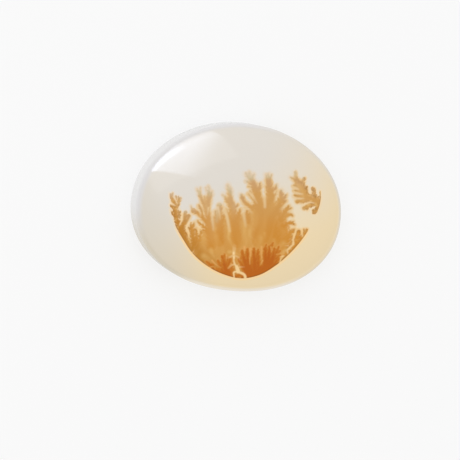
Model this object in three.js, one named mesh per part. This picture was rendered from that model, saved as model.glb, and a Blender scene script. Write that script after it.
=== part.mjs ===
// A dendritic agate cabochon: one piece of milky chalcedony, ground to an oval with a low polished dome,
// a nearly upright side wall and a flat back with a narrow bevel. The fern-like growth inside it is colour
// alone, so it has no solid of its own.
// Millimetres, +Z up. The stone lies on its flat back: X runs along its long axis, Y along its short axis,
// and the origin is under the middle of its outline, on the surface that it rests on.
import * as THREE from "three";

// Driving sizes
const LENGTH = 20.2; // along X, over the side wall
const WIDTH = 15.8; // along Y, over the side wall
const THICKNESS = 5.2; // from the flat back to the top of the dome
const WALL_TOP = 2.6; // height of the crease between side wall and dome
const BEVEL = 0.35; // height and width of the bevel round the back
const WALL_DRAFT = 0.02; // how far the side wall leans inwards on its way up
const CREASE_RADIUS = 0.2; // rounding of the crease

// Shape of the outline and of the dome
const OUTLINE_POWER = 2.06; // 2 is a true ellipse, more is squarer
const OUTLINE_LOBE = 0.013; // a hand-cut stone's three-sided unevenness, as a share of the radius
const LOBE_TURN = 1.6; // where round the outline the first of those three sides swells
const DOME_POWER = 2.25; // how flat the dome's middle is
const DOME_FULLNESS = 0.78; // how steeply the dome meets the crease, less is steeper

// Fineness of the mesh
const ROUND_STEPS = 96;
const DOME_STEPS = 18;
const CREASE_STEPS = 3;

/** Distance from the middle to the outline at an angle round the stone, in millimetres. */
function outlineRadius(angle) {
  const across = Math.abs(Math.cos(angle) / (LENGTH / 2)) ** OUTLINE_POWER;
  const along = Math.abs(Math.sin(angle) / (WIDTH / 2)) ** OUTLINE_POWER;
  const oval = (across + along) ** (-1 / OUTLINE_POWER);
  return oval * (1 + OUTLINE_LOBE * Math.cos(3 * (angle - LOBE_TURN)));
}

/** Height of the dome where its share of the way from the middle to the crease is given. */
function domeHeight(share) {
  return WALL_TOP + (THICKNESS - WALL_TOP) * (1 - share ** DOME_POWER) ** DOME_FULLNESS;
}

/**
 * Half of the stone's section, from the middle of the back to the top of the dome. X is a share of the
 * outline's radius, and Y a height in millimetres.
 */
function sectionPoints() {
  const radius = WIDTH / 2;
  const wallShare = 1 - WALL_DRAFT / radius;
  const creaseShare = wallShare - CREASE_RADIUS / radius;
  const points = [
    new THREE.Vector2(0, 0),
    new THREE.Vector2(1 - BEVEL / radius, 0),
    new THREE.Vector2(1, BEVEL),
    new THREE.Vector2(wallShare, WALL_TOP - CREASE_RADIUS / 2),
  ];

  // The dome starts where the crease ends, and the crease is a curve from the wall into it
  const domeStart = new THREE.Vector2(creaseShare, domeHeight(creaseShare / wallShare));
  const crease = new THREE.QuadraticBezierCurve(
    points.at(-1),
    new THREE.Vector2(wallShare - CREASE_RADIUS / radius / 4, WALL_TOP + CREASE_RADIUS / 2),
    domeStart,
  );
  points.push(...crease.getPoints(CREASE_STEPS).slice(1));

  // Steps are finer towards the crease, where the dome turns down faster
  for (let i = 1; i <= DOME_STEPS; i++) {
    const share = creaseShare * Math.cos((i / DOME_STEPS) * (Math.PI / 2));
    const onAxis = i === DOME_STEPS;
    points.push(new THREE.Vector2(onAxis ? 0 : share, domeHeight(onAxis ? 0 : share / wallShare)));
  }
  return points;
}

/** Turns the section round the upright axis, and draws each turn out to the outline's radius. */
function stoneGeometry() {
  const geometry = new THREE.LatheGeometry(sectionPoints(), ROUND_STEPS);
  geometry.rotateX(Math.PI / 2);
  const position = geometry.getAttribute("position");
  for (let i = 0; i < position.count; i++) {
    const radius = outlineRadius(Math.atan2(position.getY(i), position.getX(i)));
    position.setX(i, position.getX(i) * radius);
    position.setY(i, position.getY(i) * radius);
  }

  // The uneven outline moves the middle a little, so it is brought back over the origin
  geometry.computeBoundingBox();
  const middle = geometry.boundingBox.getCenter(new THREE.Vector3());
  geometry.translate(-middle.x, -middle.y, 0);
  geometry.computeVertexNormals();
  return geometry;
}

const chalcedony = new THREE.MeshStandardMaterial({ color: 0xe4ddd0, roughness: 0.12, metalness: 0 });

const stone = new THREE.Mesh(stoneGeometry(), chalcedony);
stone.name = "agate_stone";

const specimen = new THREE.Group();
specimen.add(stone);

export default specimen;
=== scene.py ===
"""A dendritic agate cabochon that lies on its flat back.

The polished skin of the stone is one closed surface. The fern-like growth inside it is colour alone: its
fronds are laid out on the flat layer that they grew in, seen through the dome, and kept as measures on the
skin's points, which the finish turns into colour. Lengths are in millimetres until a mesh is written.
"""
import logging
import math
from dataclasses import dataclass, field
from enum import Enum

import bpy
import numpy as np
from mathutils import Matrix, Vector


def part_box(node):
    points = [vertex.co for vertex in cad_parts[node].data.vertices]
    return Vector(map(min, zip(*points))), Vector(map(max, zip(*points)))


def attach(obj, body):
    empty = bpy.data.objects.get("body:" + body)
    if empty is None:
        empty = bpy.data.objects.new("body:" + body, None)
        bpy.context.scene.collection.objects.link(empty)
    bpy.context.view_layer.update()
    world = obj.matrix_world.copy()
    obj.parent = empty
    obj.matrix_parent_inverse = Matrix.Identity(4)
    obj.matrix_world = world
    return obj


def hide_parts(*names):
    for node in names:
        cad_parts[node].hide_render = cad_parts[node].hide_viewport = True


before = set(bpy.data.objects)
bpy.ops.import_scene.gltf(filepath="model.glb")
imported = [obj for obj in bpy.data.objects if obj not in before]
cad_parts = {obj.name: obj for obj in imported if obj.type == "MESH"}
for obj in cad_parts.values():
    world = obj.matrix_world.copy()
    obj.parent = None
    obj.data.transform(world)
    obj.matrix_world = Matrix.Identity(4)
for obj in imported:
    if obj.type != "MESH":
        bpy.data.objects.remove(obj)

LOG = logging.getLogger("agate_cabochon")
MM = 0.001
STONE_NODE = "agate_stone"
# Name under which the skin's points keep how far past the crease they are
PAST_CREASE = "past_crease"
# Directions over the stone that its tones, and its painted light and shade, change along
LEFTWARDS = (-0.8, -0.6, 0)
UPWARDS = (-0.1, 1.0, 0)

Colour = tuple[float, float, float, float]
Point = tuple[float, float]
# A node's socket, and what may be put into one: another node's output, or a value
Plug = bpy.types.NodeSocket
Input = Plug | float | tuple


def display(red: int, green: int, blue: int) -> Colour:
    """Turns a colour as a screen shows it, 0 to 255, into the linear colour that a shader reads.

    A share up to 0.04045 is divided by 12.92. To a greater one 0.055 is added, and it is divided by 1.055
    and raised to the power of 2.4.

    Args:
        red: Red as shown.
        green: Green as shown.
        blue: Blue as shown.

    Returns:
        The linear colour, with full cover.
    """
    shares = [value / 255 for value in (red, green, blue)]
    linear = [s / 12.92 if s <= 0.04045 else ((s + 0.055) / 1.055) ** 2.4 for s in shares]
    return (*linear, 1.0)


def ease(low: float | np.ndarray, high: float, value: np.ndarray) -> np.ndarray:
    """Rises smoothly from 0 at low to 1 at high: 3t^2 - 2t^3, where t is the share of the way.

    Args:
        low: Value up to which it is 0. It may be the higher of the two.
        high: Value from which it is 1.
        value: The values.

    Returns:
        A share from 0 to 1 for each value.
    """
    share = np.clip((value - low) / (high - low), 0.0, 1.0)
    return share * share * (3.0 - 2.0 * share)


def keep_numbers(mesh: bpy.types.Mesh, name: str, values: np.ndarray) -> None:
    """Keeps one number on each point of a mesh, under a name."""
    attribute = mesh.attributes.new(name, "FLOAT", "POINT")
    attribute.data.foreach_set("value", values.astype(np.float32))


@dataclass(frozen=True)
class StoneCut:
    """The stone's cut: an oval outline, an upright wall, a rounded crease and a low dome."""

    length: float
    width: float
    thickness: float
    wall_top: float = 2.6
    bevel: float = 0.35
    wall_draft: float = 0.02
    crease_radius: float = 0.2
    outline_power: float = 2.06
    outline_lobe: float = 0.013
    lobe_turn: float = 1.6
    dome_power: float = 2.25
    dome_fullness: float = 0.78

    @classmethod
    def from_frame(cls, node: str) -> "StoneCut":
        """The cut with the length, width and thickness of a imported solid, by its name."""
        low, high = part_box(node)
        return cls(*((high[axis] - low[axis]) / MM for axis in range(3)))

    def outline_radius(self, angle: np.ndarray) -> np.ndarray:
        """Distance from the middle to the outline.

        A superellipse of the half length and half width, times one plus the lobe share times the cosine of
        three times the angle from the lobe's turn.

        Args:
            angle: Angles round the stone.

        Returns:
            The radius at each angle.
        """
        across = np.abs(np.cos(angle) / (self.length / 2)) ** self.outline_power
        along = np.abs(np.sin(angle) / (self.width / 2)) ** self.outline_power
        oval = (across + along) ** (-1 / self.outline_power)
        return oval * (1 + self.outline_lobe * np.cos(3 * (angle - self.lobe_turn)))

    def dome_height(self, share: np.ndarray) -> np.ndarray:
        """Height of the dome: wall top plus rise times (1 - share^power)^fullness.

        Args:
            share: Share of the way from the middle to the crease.

        Returns:
            The height at each share.
        """
        rise = self.thickness - self.wall_top
        left = np.maximum(0.0, 1 - np.abs(share) ** self.dome_power)
        return self.wall_top + rise * left**self.dome_fullness

    @property
    def wall_share(self) -> float:
        """Share of the outline's radius at the top of the wall."""
        return 1 - self.wall_draft / (self.width / 2)

    @property
    def crease_share(self) -> float:
        """Share of the outline's radius where the dome starts."""
        return self.wall_share - self.crease_radius / (self.width / 2)

    def middle(self) -> np.ndarray:
        """Middle of the outline's bounding box, which lies over the origin.

        Returns:
            Its X and Y, from a point of the outline at every half degree.
        """
        angle = np.linspace(0, 2 * np.pi, 721)
        radius = self.outline_radius(angle)
        ends = np.stack([radius * np.cos(angle), radius * np.sin(angle)])
        return (ends.max(axis=1) + ends.min(axis=1)) / 2

    def place(self, share: np.ndarray, angle: np.ndarray, height: np.ndarray) -> np.ndarray:
        """Points of the skin.

        Each lies at share times the outline's radius from the middle, at its angle and height.

        Args:
            share: Shares of the outline's radius.
            angle: Angles round the stone.
            height: Heights above the flat back.

        Returns:
            One row of X, Y and Z for each point.
        """
        radius = share * self.outline_radius(angle)
        middle = self.middle()
        flat = [radius * np.cos(angle) - middle[0], radius * np.sin(angle) - middle[1]]
        return np.stack([*flat, np.broadcast_to(height, radius.shape)], axis=-1).reshape(-1, 3)


@dataclass(frozen=True)
class DiscGrid:
    """A square grid drawn out to a disc, so that its cells are about the same size all over."""

    half_steps: int

    @property
    def side(self) -> int:
        """Number of points along one side."""
        return 2 * self.half_steps + 1

    def share_and_angle(self) -> tuple[np.ndarray, np.ndarray]:
        """Share of the disc's radius and angle of each point, row by row.

        The square ring that a point is on gives its share, and how far it is along its side of the ring
        gives its angle, a quarter turn for each side.

        Returns:
            Shares from 0 to 1, and angles.
        """
        steps = np.arange(-self.half_steps, self.half_steps + 1) / self.half_steps
        across, along = np.meshgrid(steps, steps)
        share = np.maximum(np.abs(across), np.abs(along))
        beside = np.abs(across) >= np.abs(along)
        safe_across = np.where(across == 0, 1.0, across)
        safe_along = np.where(along == 0, 1.0, along)
        side_angle = np.pi / 4 * along / safe_across + np.where(across < 0, np.pi, 0.0)
        end_angle = np.pi / 2 - np.pi / 4 * across / safe_along + np.where(along < 0, np.pi, 0.0)
        return share.ravel(), np.where(beside, side_angle, end_angle).ravel()

    def _numbers(self, first: int) -> np.ndarray:
        """Numbers of the grid's points in the mesh, in rows, where the first point's number is given."""
        return first + np.arange(self.side**2).reshape(self.side, self.side)

    def faces(self, first: int, upwards: bool) -> np.ndarray:
        """Corner numbers of the cells.

        Args:
            first: Number of the grid's first point in the mesh.
            upwards: True where the faces look up.

        Returns:
            One row of four corners for each cell.
        """
        number = self._numbers(first)
        cells = [number[:-1, :-1], number[:-1, 1:], number[1:, 1:], number[1:, :-1]]
        quads = np.stack(cells, axis=-1).reshape(-1, 4)
        return quads if upwards else quads[:, ::-1]

    def rim(self, first: int) -> np.ndarray:
        """Numbers of the points round the rim, anticlockwise from the lower left corner of the square.

        Args:
            first: Number of the grid's first point in the mesh.

        Returns:
            The numbers in order, eight for each half step.
        """
        number = self._numbers(first)
        sides = [number[0, :-1], number[:-1, -1], number[-1, :0:-1], number[:0:-1, 0]]
        return np.concatenate(sides)


class SkinPart(Enum):
    """The parts of the stone's skin, in the order that their points are made."""

    DOME = 0
    SIDE = 1
    BACK = 2


@dataclass
class StoneSkin:
    """The stone's closed skin: a fine grid over the dome, rings down the side, and a grid on the back.

    One step of the back's grid is as wide as several of the dome's, and a ring of triangles of the width of
    the inset joins it to the bevel.
    """

    cut: StoneCut
    dome_steps: int = 132
    coarser: int = 4
    crease_rings: int = 6
    wall_rings: int = 5
    bevel_rings: int = 3
    back_inset: float = 0.25

    def side_section(self) -> np.ndarray:
        """Section of the side from below the dome to the edge of the back.

        The crease is a quadratic Bezier curve from dome to wall. The wall and the bevel are straight.

        Returns:
            One row of share and height for each ring.
        """
        cut = self.cut
        radius = cut.width / 2
        dome_edge = float(cut.dome_height(cut.crease_share / cut.wall_share))
        start = np.array([cut.crease_share, dome_edge])
        turn_share = cut.wall_share - cut.crease_radius / radius / 4
        turn = np.array([turn_share, cut.wall_top + cut.crease_radius / 2])
        end = np.array([cut.wall_share, cut.wall_top - cut.crease_radius / 2])
        wall_foot = np.array([1.0, cut.bevel])
        bevel_foot = np.array([1 - cut.bevel / radius, 0.0])
        counts = (self.crease_rings, self.wall_rings, self.bevel_rings)
        on_crease, on_wall, on_bevel = (np.linspace(0, 1, count + 1)[1:, None] for count in counts)
        near_start, near_turn = (1 - on_crease) ** 2, 2 * on_crease * (1 - on_crease)
        crease = near_start * start + near_turn * turn + on_crease**2 * end
        wall = end + (wall_foot - end) * on_wall
        bevel = wall_foot + (bevel_foot - wall_foot) * on_bevel
        return np.vstack([crease, wall, bevel])

    def build(self, name: str) -> tuple[bpy.types.Object, np.ndarray]:
        """Builds the skin as one mesh object, whose points keep how far past the crease they are.

        Args:
            name: Name of the object.

        Returns:
            The object, and which SkinPart each of its points belongs to.
        """
        cut = self.cut
        dome_grid = DiscGrid(self.dome_steps)
        share, angle = dome_grid.share_and_angle()
        share = share * cut.crease_share
        dome = cut.place(share, angle, cut.dome_height(share / cut.wall_share))
        rim = dome_grid.rim(0)

        section = self.side_section()
        around = len(rim)
        every = np.ones(around)
        side = cut.place(section[:, :1] * every, angle[rim], section[:, 1:] * every)
        back_grid = DiscGrid(self.dome_steps // self.coarser)
        back_share, back_angle = back_grid.share_and_angle()
        back_edge = section[-1, 0] - self.back_inset / (cut.width / 2)
        back = cut.place(back_share * back_edge, back_angle, np.zeros_like(back_share))

        side_first = len(dome)
        back_first = side_first + len(side)
        rings = [rim] + [side_first + ring * around + np.arange(around) for ring in range(len(section))]
        quads = [dome_grid.faces(0, upwards=True)]
        for upper, lower in zip(rings[:-1], rings[1:]):
            quads.append(np.stack([upper, lower, np.roll(lower, -1), np.roll(upper, -1)], axis=1))
        quads.append(back_grid.faces(back_first, upwards=False))
        joins = self._join_coarser(rings[-1], back_grid.rim(back_first))

        mesh = bpy.data.meshes.new(name)
        points = np.vstack([dome, side, back]) * MM
        faces = np.concatenate(quads).tolist() + joins.tolist()
        mesh.from_pydata(points.tolist(), [], faces)
        mesh.shade_smooth()
        mesh.update()
        self._sharpen(mesh, [rings[-1 - self.bevel_rings], rings[-1]])
        keep_numbers(mesh, PAST_CREASE, self._past_crease(share, section, around, len(back)))
        skin = bpy.data.objects.new(name, mesh)
        bpy.context.scene.collection.objects.link(skin)
        counts = [len(dome), len(side), len(back)]
        return skin, np.repeat([part.value for part in SkinPart], counts)

    def _past_crease(
        self, dome_share: np.ndarray, section: np.ndarray, around: int, back_count: int
    ) -> np.ndarray:
        """How far past the crease each point is, down the side.

        On the side it is the length of the section from its first ring. It is negative on the dome, where
        it is the share less the crease's share, times half the width, and on the back, which counts as far
        from the crease.

        Args:
            dome_share: Shares of the outline's radius of the dome's points.
            section: Section of the side.
            around: Number of points in each of its rings.
            back_count: Number of points of the back.

        Returns:
            One length for each point of the skin.
        """
        half_width = self.cut.width / 2
        arms = np.diff(np.vstack([section[:1], section]) * [half_width, 1], axis=0)
        on_dome = (dome_share - self.cut.crease_share) * self.cut.width / 2
        on_side = np.repeat(np.cumsum(np.hypot(*arms.T)), around)
        return np.concatenate([on_dome, on_side, np.full(back_count, -half_width)])

    @staticmethod
    def _sharpen(mesh: bpy.types.Mesh, rings: list[np.ndarray]) -> None:
        """Marks the edges along some rings of points as sharp.

        Args:
            mesh: The mesh.
            rings: Numbers of the points round each ring.
        """
        ring_of = np.full(len(mesh.vertices), -1)
        for number, ring in enumerate(rings):
            ring_of[ring] = number
        ends = np.empty(len(mesh.edges) * 2, dtype=np.int32)
        mesh.edges.foreach_get("vertices", ends)
        start, end = ring_of[ends.reshape(-1, 2)].T
        sharp = mesh.attributes.new("sharp_edge", "BOOLEAN", "EDGE")
        sharp.data.foreach_set("value", (start == end) & (start >= 0))

    def _join_coarser(self, fine: np.ndarray, coarse: np.ndarray) -> np.ndarray:
        """Triangles between the side's last ring and the coarser ring inside it, seen from below.

        Args:
            fine: Numbers of the points round the fine ring.
            coarse: Numbers of the points round the coarse ring, which has a point for every few fine ones.

        Returns:
            One row of three corners for each triangle.
        """
        step = self.coarser
        fans = []
        for offset in range(step):
            near = coarse if offset < step // 2 else np.roll(coarse, -1)
            start = fine[offset::step]
            end = np.roll(fine, -1)[offset::step]
            fans.append(np.stack([near, start, end], axis=1))
        middle = fine[step // 2 :: step]
        fans.append(np.stack([coarse, middle, np.roll(coarse, -1)], axis=1))
        return np.concatenate(fans)[:, ::-1]


@dataclass(frozen=True)
class GrowthLayer:
    """The flat layer inside the stone that the growth lies in, and the grid that its fronds are laid on.

    The layer faces an eye, which looks straight at a place that is shifted from the layer's middle. The
    grid lies in the layer too, and its middle is so many steps from that place. Angles are in degrees.
    """

    tilt: float = 18.2
    azimuth: float = 163.3
    roll: float = -7.9
    height: float = 1.4
    eye_distance: float = 132.8
    eye_shift: Point = (-0.74, -2.2)
    step: float = 0.0945
    grid_middle: Point = (6.0, 24.0)

    def axes(self) -> tuple[Vector, Vector, Vector]:
        """The layer's directions across and up the growth, and the direction that it faces.

        The facing leans by the tilt towards the azimuth. Up is the stone's Y laid into the layer and turned
        by the roll.

        Returns:
            Three unit vectors.
        """
        tilt, azimuth, roll = (math.radians(value) for value in (self.tilt, self.azimuth, self.roll))
        lean = math.sin(tilt)
        facing = Vector((lean * math.cos(azimuth), lean * math.sin(azimuth), math.cos(tilt)))
        flat_up = (Vector((0, 1, 0)) - facing * facing.y).normalized()
        flat_across = flat_up.cross(facing)
        across = flat_across * math.cos(roll) - flat_up * math.sin(roll)
        up = flat_across * math.sin(roll) + flat_up * math.cos(roll)
        return across, up, facing

    def project(self, points: np.ndarray) -> tuple[np.ndarray, np.ndarray]:
        """Where the eye sees points against the grid.

        The offset from the eye's line over the share of the eye's distance that is left, in steps, less the
        grid's middle.

        Args:
            points: Points of the skin.

        Returns:
            Steps across and steps up, from the grid's middle.
        """
        across, up, facing = (np.array(axis) for axis in self.axes())
        arm = points - np.array([0.0, 0.0, self.height])
        left = 1 - arm @ facing / self.eye_distance
        right = (arm @ across - self.eye_shift[0]) / (left * self.step) - self.grid_middle[0]
        high = (arm @ up - self.eye_shift[1]) / (left * self.step) - self.grid_middle[1]
        return right, high


def to_stretches(
    right: np.ndarray, high: np.ndarray, start: np.ndarray, arm: np.ndarray
) -> tuple[np.ndarray, np.ndarray, np.ndarray]:
    """How points lie to some straight stretches of line.

    The share of a stretch up to its place nearest to a point is the offset's dot product with the stretch
    over the stretch's own, held between 0 and 1.

    Args:
        right: Steps across of the points.
        high: Steps up of the points.
        start: Where each stretch starts.
        arm: From its start to its end.

    Returns:
        The offset from each start to each point, that share, and the distance to that place.
    """
    offset = np.stack([right, high], axis=1)[:, None, :] - start
    share = np.clip((offset * arm).sum(axis=2) / (arm * arm).sum(axis=1), 0, 1)
    distance = np.hypot(*(offset - share[..., None] * arm).transpose(2, 0, 1))
    return offset, share, distance


def inside_outline(outline: tuple[Point, ...], right: np.ndarray, high: np.ndarray) -> np.ndarray:
    """Distance inside a closed outline of straight sides.

    The distance to the nearest side, positive where a line from the point to the right crosses an odd
    number of sides.

    Args:
        outline: Corners of the outline in order.
        right: Steps across of the points.
        high: Steps up of the points.

    Returns:
        The distance for each point, negative outside.
    """
    start = np.array(outline, dtype=float)
    arm = np.roll(start, -1, axis=0) - start
    offset, _, distance = to_stretches(right, high, start, arm)
    across, up = offset[..., 0], offset[..., 1]
    rise = np.where(arm[:, 1] == 0, 1.0, arm[:, 1])
    passes = (up < 0) != (up - arm[:, 1] < 0)
    crossing = passes & (across < arm[:, 0] * up / rise)
    nearest = distance.min(axis=1)
    return np.where(crossing.sum(axis=1) % 2 == 1, nearest, -nearest)


@dataclass(frozen=True)
class Beside:
    """How the points near a frond lie to it, in grid steps.

    Attributes:
        near: Which of all the points they are.
        depth: How far inside the frond's edge they are.
        along: How far along its line they are, as a length.
        way: The same as a share.
        aside: How far aside of its line they are, positive on its left.
        radius: The frond's radius there.
        rest: How much of its line is left up to the tip.
    """

    near: np.ndarray
    depth: np.ndarray
    along: np.ndarray
    way: np.ndarray
    aside: np.ndarray
    radius: np.ndarray
    rest: np.ndarray


@dataclass(frozen=True)
class Frond:
    """A branch of the growth: a smooth line through its points, from root to tip, in grid steps.

    The widths are in grid steps too. A fringe is the length of the small teeth along both its sides.
    """

    points: tuple[Point, ...]
    root_width: float
    tip_width: float
    fringe: float = 0.8

    def line(self, between: int = 5) -> np.ndarray:
        """The line through the points.

        Each stretch is a Catmull-Rom curve: cubic, through both its ends, and there parallel to the line
        between the points next to them.

        Args:
            between: Number of steps in each stretch.

        Returns:
            One row of X and Y for each point of the line.
        """
        knots = np.array(self.points, dtype=float)
        knots = np.vstack([2 * knots[0] - knots[1], knots, 2 * knots[-1] - knots[-2]])
        before, start, end, after = knots[:-3], knots[1:-2], knots[2:-1], knots[3:]
        t = (np.arange(between) / between)[:, None, None]
        linear = (end - before) * t
        square = (2 * before - 5 * start + 4 * end - after) * t**2
        cubic = (3 * start - before - 3 * end + after) * t**3
        curve = 0.5 * (2 * start + linear + square + cubic)
        return np.vstack([curve.transpose(1, 0, 2).reshape(-1, 2), knots[-2:-1]])

    def beside(self, right: np.ndarray, high: np.ndarray, far: float) -> Beside:
        """How points lie to the frond.

        A point's depth is the radius at its nearest place less the distance to it. That place is on the
        stretch where the depth is greatest.

        Args:
            right: Steps across.
            high: Steps up.
            far: How far outside the frond points are still looked at.

        Returns:
            The points near the frond, and how they lie to it.
        """
        line = self.line()
        arm = np.diff(line, axis=0)
        run = np.concatenate([[0.0], np.cumsum(np.hypot(*arm.T))])
        radius = (self.root_width + (self.tip_width - self.root_width) * run / run[-1]) / 2
        reach = radius.max() + far
        near = (right > line[:, 0].min() - reach) & (right < line[:, 0].max() + reach)
        near &= (high > line[:, 1].min() - reach) & (high < line[:, 1].max() + reach)
        offset, share, distance = to_stretches(right[near], high[near], line[:-1], arm)
        wide = radius[:-1] + np.diff(radius) * share
        depth = wide - distance
        left = np.sign(arm[:, 0] * offset[..., 1] - arm[:, 1] * offset[..., 0])
        along = run[:-1] + np.diff(run) * share
        values = [depth, along, along / run[-1], distance * left, wide, run[-1] - along]
        nearest = depth.argmax(axis=1)[:, None]
        return Beside(near, *(np.take_along_axis(value, nearest, 1)[:, 0] for value in values))


@dataclass(frozen=True)
class Streak:
    """A soft line in the growth: a frond's line without teeth, and its strength at first and at last."""

    frond: Frond
    first: float
    last: float


def fronds(fringe: float, *rows: tuple) -> tuple[Frond, ...]:
    """Fronds with the same fringe. A row holds the points of one, its root width and its tip width."""
    return tuple(Frond(points, root, tip, fringe) for points, root, tip in rows)


def streaks(first: float, last: float, *rows: tuple) -> tuple[Streak, ...]:
    """Streaks with the same strengths. A row holds the points of one, its first and its last width."""
    return tuple(Streak(frond, first, last) for frond in fronds(0.0, *rows))


# The main body of the growth, where its fronds have run together
BODY_OUTLINE = (
    (-59, -16), (-54.5, -24), (-50, -32), (-46, -35), (-42, -26), (-37, -30), (-31, -20), (-26, -11),
    (-21, -9), (-16, -6), (-12, -9), (-7, -7), (-2, -6), (3, -8), (9, -6), (15, 0), (21, 8), (27, 9),
    (34, 9), (40, 5), (45, -1), (48, -7), (51, -13), (54.5, -23), (57, -29.5), (56.2, -38), (51.6, -42.6),
    (51, -48), (50, -56), (26, -78), (5, -80), (-18, -76), (-40, -58),
)
# Where the layer comes out through the dome, so that the growth ends in a clean curve
LAYER_EDGE = (
    (-66.5, 11), (-65.5, -4), (-61, -19), (-53, -33.5), (-43, -48), (-27.5, -61), (-12.5, -68.5), (5, -72.5),
    (21, -70), (40, -59.5), (53, -48.5), (65.5, -34.5), (73.5, -22.5), (80.5, -8), (84, 2), (85, 16),
)
LAYER_EDGE_MIDDLE = (9, 7)

# The ochre growth, plume by plume from left to right
LEFT_PLUME = fronds(
    0.8,
    (((-47, -42), (-55, -25), (-60.5, -5), (-61, 1.5)), 12, 4.2),
    (((-61, 0), (-63, 5), (-64.5, 9), (-64.8, 10.5)), 4.6, 3.4),
    (((-64, 8), (-63.8, 11), (-63, 13)), 2.4, 1.8),
    (((-64, 8), (-65.5, 10.5), (-66, 12)), 2.2, 1.6),
    (((-62, 2), (-61, 6), (-60, 9.5)), 3.2, 2.6),
    (((-59.5, -1.5), (-57.5, 3.5), (-56.2, 7.5)), 4, 3),
    (((-57, 4.5), (-57.3, 7.5), (-57.5, 9.5)), 2.2, 1.6),
    (((-61.5, -3.5), (-63.5, -1.5), (-65.5, 1)), 2.8, 1.8),
    (((-62, -9), (-64.5, -7), (-66, -5)), 3.4, 2.4),
    (((-60, -10.5), (-57.5, -8), (-56, -6)), 4, 2.8),
    (((-59, -16), (-57.5, -12), (-56, -9.5)), 3, 2),
    (((-52, -34), (-53.5, -23), (-51.5, -14), (-50.8, -6.5)), 7.5, 4),
    (((-51, -17), (-48.8, -13.5), (-47.2, -10.5)), 6, 4),
    (((-51.5, -13), (-52.8, -10.5), (-53, -8.5)), 3.4, 2.4),
    (((-42, -38), (-43.5, -28), (-44, -20.5)), 8, 5.2),
    (((-44.5, -24), (-46, -22.5), (-47.5, -21.5)), 3.2, 2),
    (((-44.5, -21), (-45, -18.5), (-45, -17)), 2.6, 2),
    (((-43.5, -21), (-42, -18.5), (-41.5, -16.5)), 3.4, 2.5),
)
FORKED_PLUME = fronds(
    0.9,
    (((-24, -40), (-26.5, -20), (-29.5, -0.5)), 11, 5.8),
    (((-30.5, -1.5), (-33.5, 5.5), (-36, 11), (-36.8, 13.5)), 5.4, 3.6),
    (((-36, 12), (-38, 15), (-39, 17)), 2.6, 1.8),
    (((-36, 12), (-35.8, 16), (-35.2, 18)), 2.8, 1.8),
    (((-29.5, -1), (-27.5, 5.5), (-27, 11.5), (-27.8, 14)), 7, 4.4),
    (((-28, 13), (-30, 16.5), (-30.5, 18)), 3, 1.8),
    (((-27.5, 13), (-27, 17), (-27.8, 19.5)), 3, 1.8),
    (((-27, 6), (-25, 10), (-24, 14.5)), 4, 2.2),
    (((-29.5, 2), (-31, 6), (-31.5, 9.5)), 3.2, 2.4),
    (((-29, -7), (-33.5, -3.5), (-37, 0)), 3.6, 2.9),
    (((-28.5, -18), (-35.5, -9.5), (-39, -6.5), (-42.5, -5)), 5.2, 4.4),
    (((-42, -5.5), (-44, -3), (-45, 0)), 3, 1.6),
    (((-28.5, -16), (-32.5, -10), (-35, -3.5)), 3, 2.2),
    (((-28, -25), (-33, -19.5), (-36.5, -17.5), (-38.5, -15)), 3.8, 2.6),
    (((-29, -26), (-32.5, -24), (-35, -23.5)), 3.6, 2.2),
    (((-36, -34), (-35.5, -28), (-34.5, -25)), 4.4, 2.4),
    (((-40, -34), (-39.5, -27), (-40, -23)), 4.4, 2.4),
)
MIDDLE_PLUMES = fronds(
    0.9,
    (((-17, -36), (-16.5, -16), (-16.5, -6), (-16.5, 0.5)), 12, 5.2),
    (((-19, -16), (-20, -10), (-20.5, -5.5)), 4.2, 2.6),
    (((-14, -15), (-12, -11), (-12, -8)), 4, 2.2),
    (((1, -36), (-1.5, -16), (-3.5, -3), (-6, 4.5)), 13, 6.2),
    (((-5.5, 3), (-6, 11), (-7.5, 17), (-8.5, 20.5)), 6.4, 3.4),
    (((-6, 11), (-5, 14.5), (-5, 17.5)), 2.8, 1.8),
    (((-7, 3.5), (-10, 7), (-13, 11)), 3.4, 2.4),
    (((-5, -13), (-8, -8), (-10, -3)), 4.4, 2.8),
    (((-8, -20), (-9.5, -17), (-10.5, -15)), 3, 1.8),
    (((-4.5, -5), (-1, -2), (1, 1)), 5.2, 2.6),
    (((2, -12), (3, -7), (4, -3.5)), 6.5, 3.4),
    (((-5, 0), (-2.5, 2), (-2, 4.5)), 3, 1.8),
)
TALL_PLUME = fronds(
    1.0,
    (((26, -34), (23.5, -8), (22, 7), (20, 15)), 20, 8.4),
    (((20.5, 14), (18, 22), (15, 27), (13.5, 29)), 8.4, 6.6),
    (((14.5, 27.5), (11.5, 30), (9.8, 32)), 4.2, 2.6),
    (((14.5, 27.5), (13.5, 31), (13.5, 33.5)), 4, 2.4),
    (((15, 27.5), (17, 30), (17.8, 31.5)), 4.2, 2.8),
    (((16, 22), (13, 23.5), (10, 24.5)), 2.6, 2.3),
    (((18, 17.5), (14.5, 19), (12, 19.5)), 3, 1.8),
    (((22, 12.5), (23.5, 18), (24, 23)), 5.4, 3.2),
    (((23, 3), (16.5, -1.5), (10, 3), (6.5, 7.5), (5, 11)), 7, 3),
    (((11, 1), (7.5, 5), (6, 8.5)), 5.2, 3.6),
    (((22, -2), (16.5, 7), (12, 12)), 3.4, 2.2),
    (((22, 1), (17.5, 9), (14.5, 15)), 3.2, 1.8),
    (((13, -16), (11.5, -10), (10.5, -5)), 6, 3.4),
)
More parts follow.
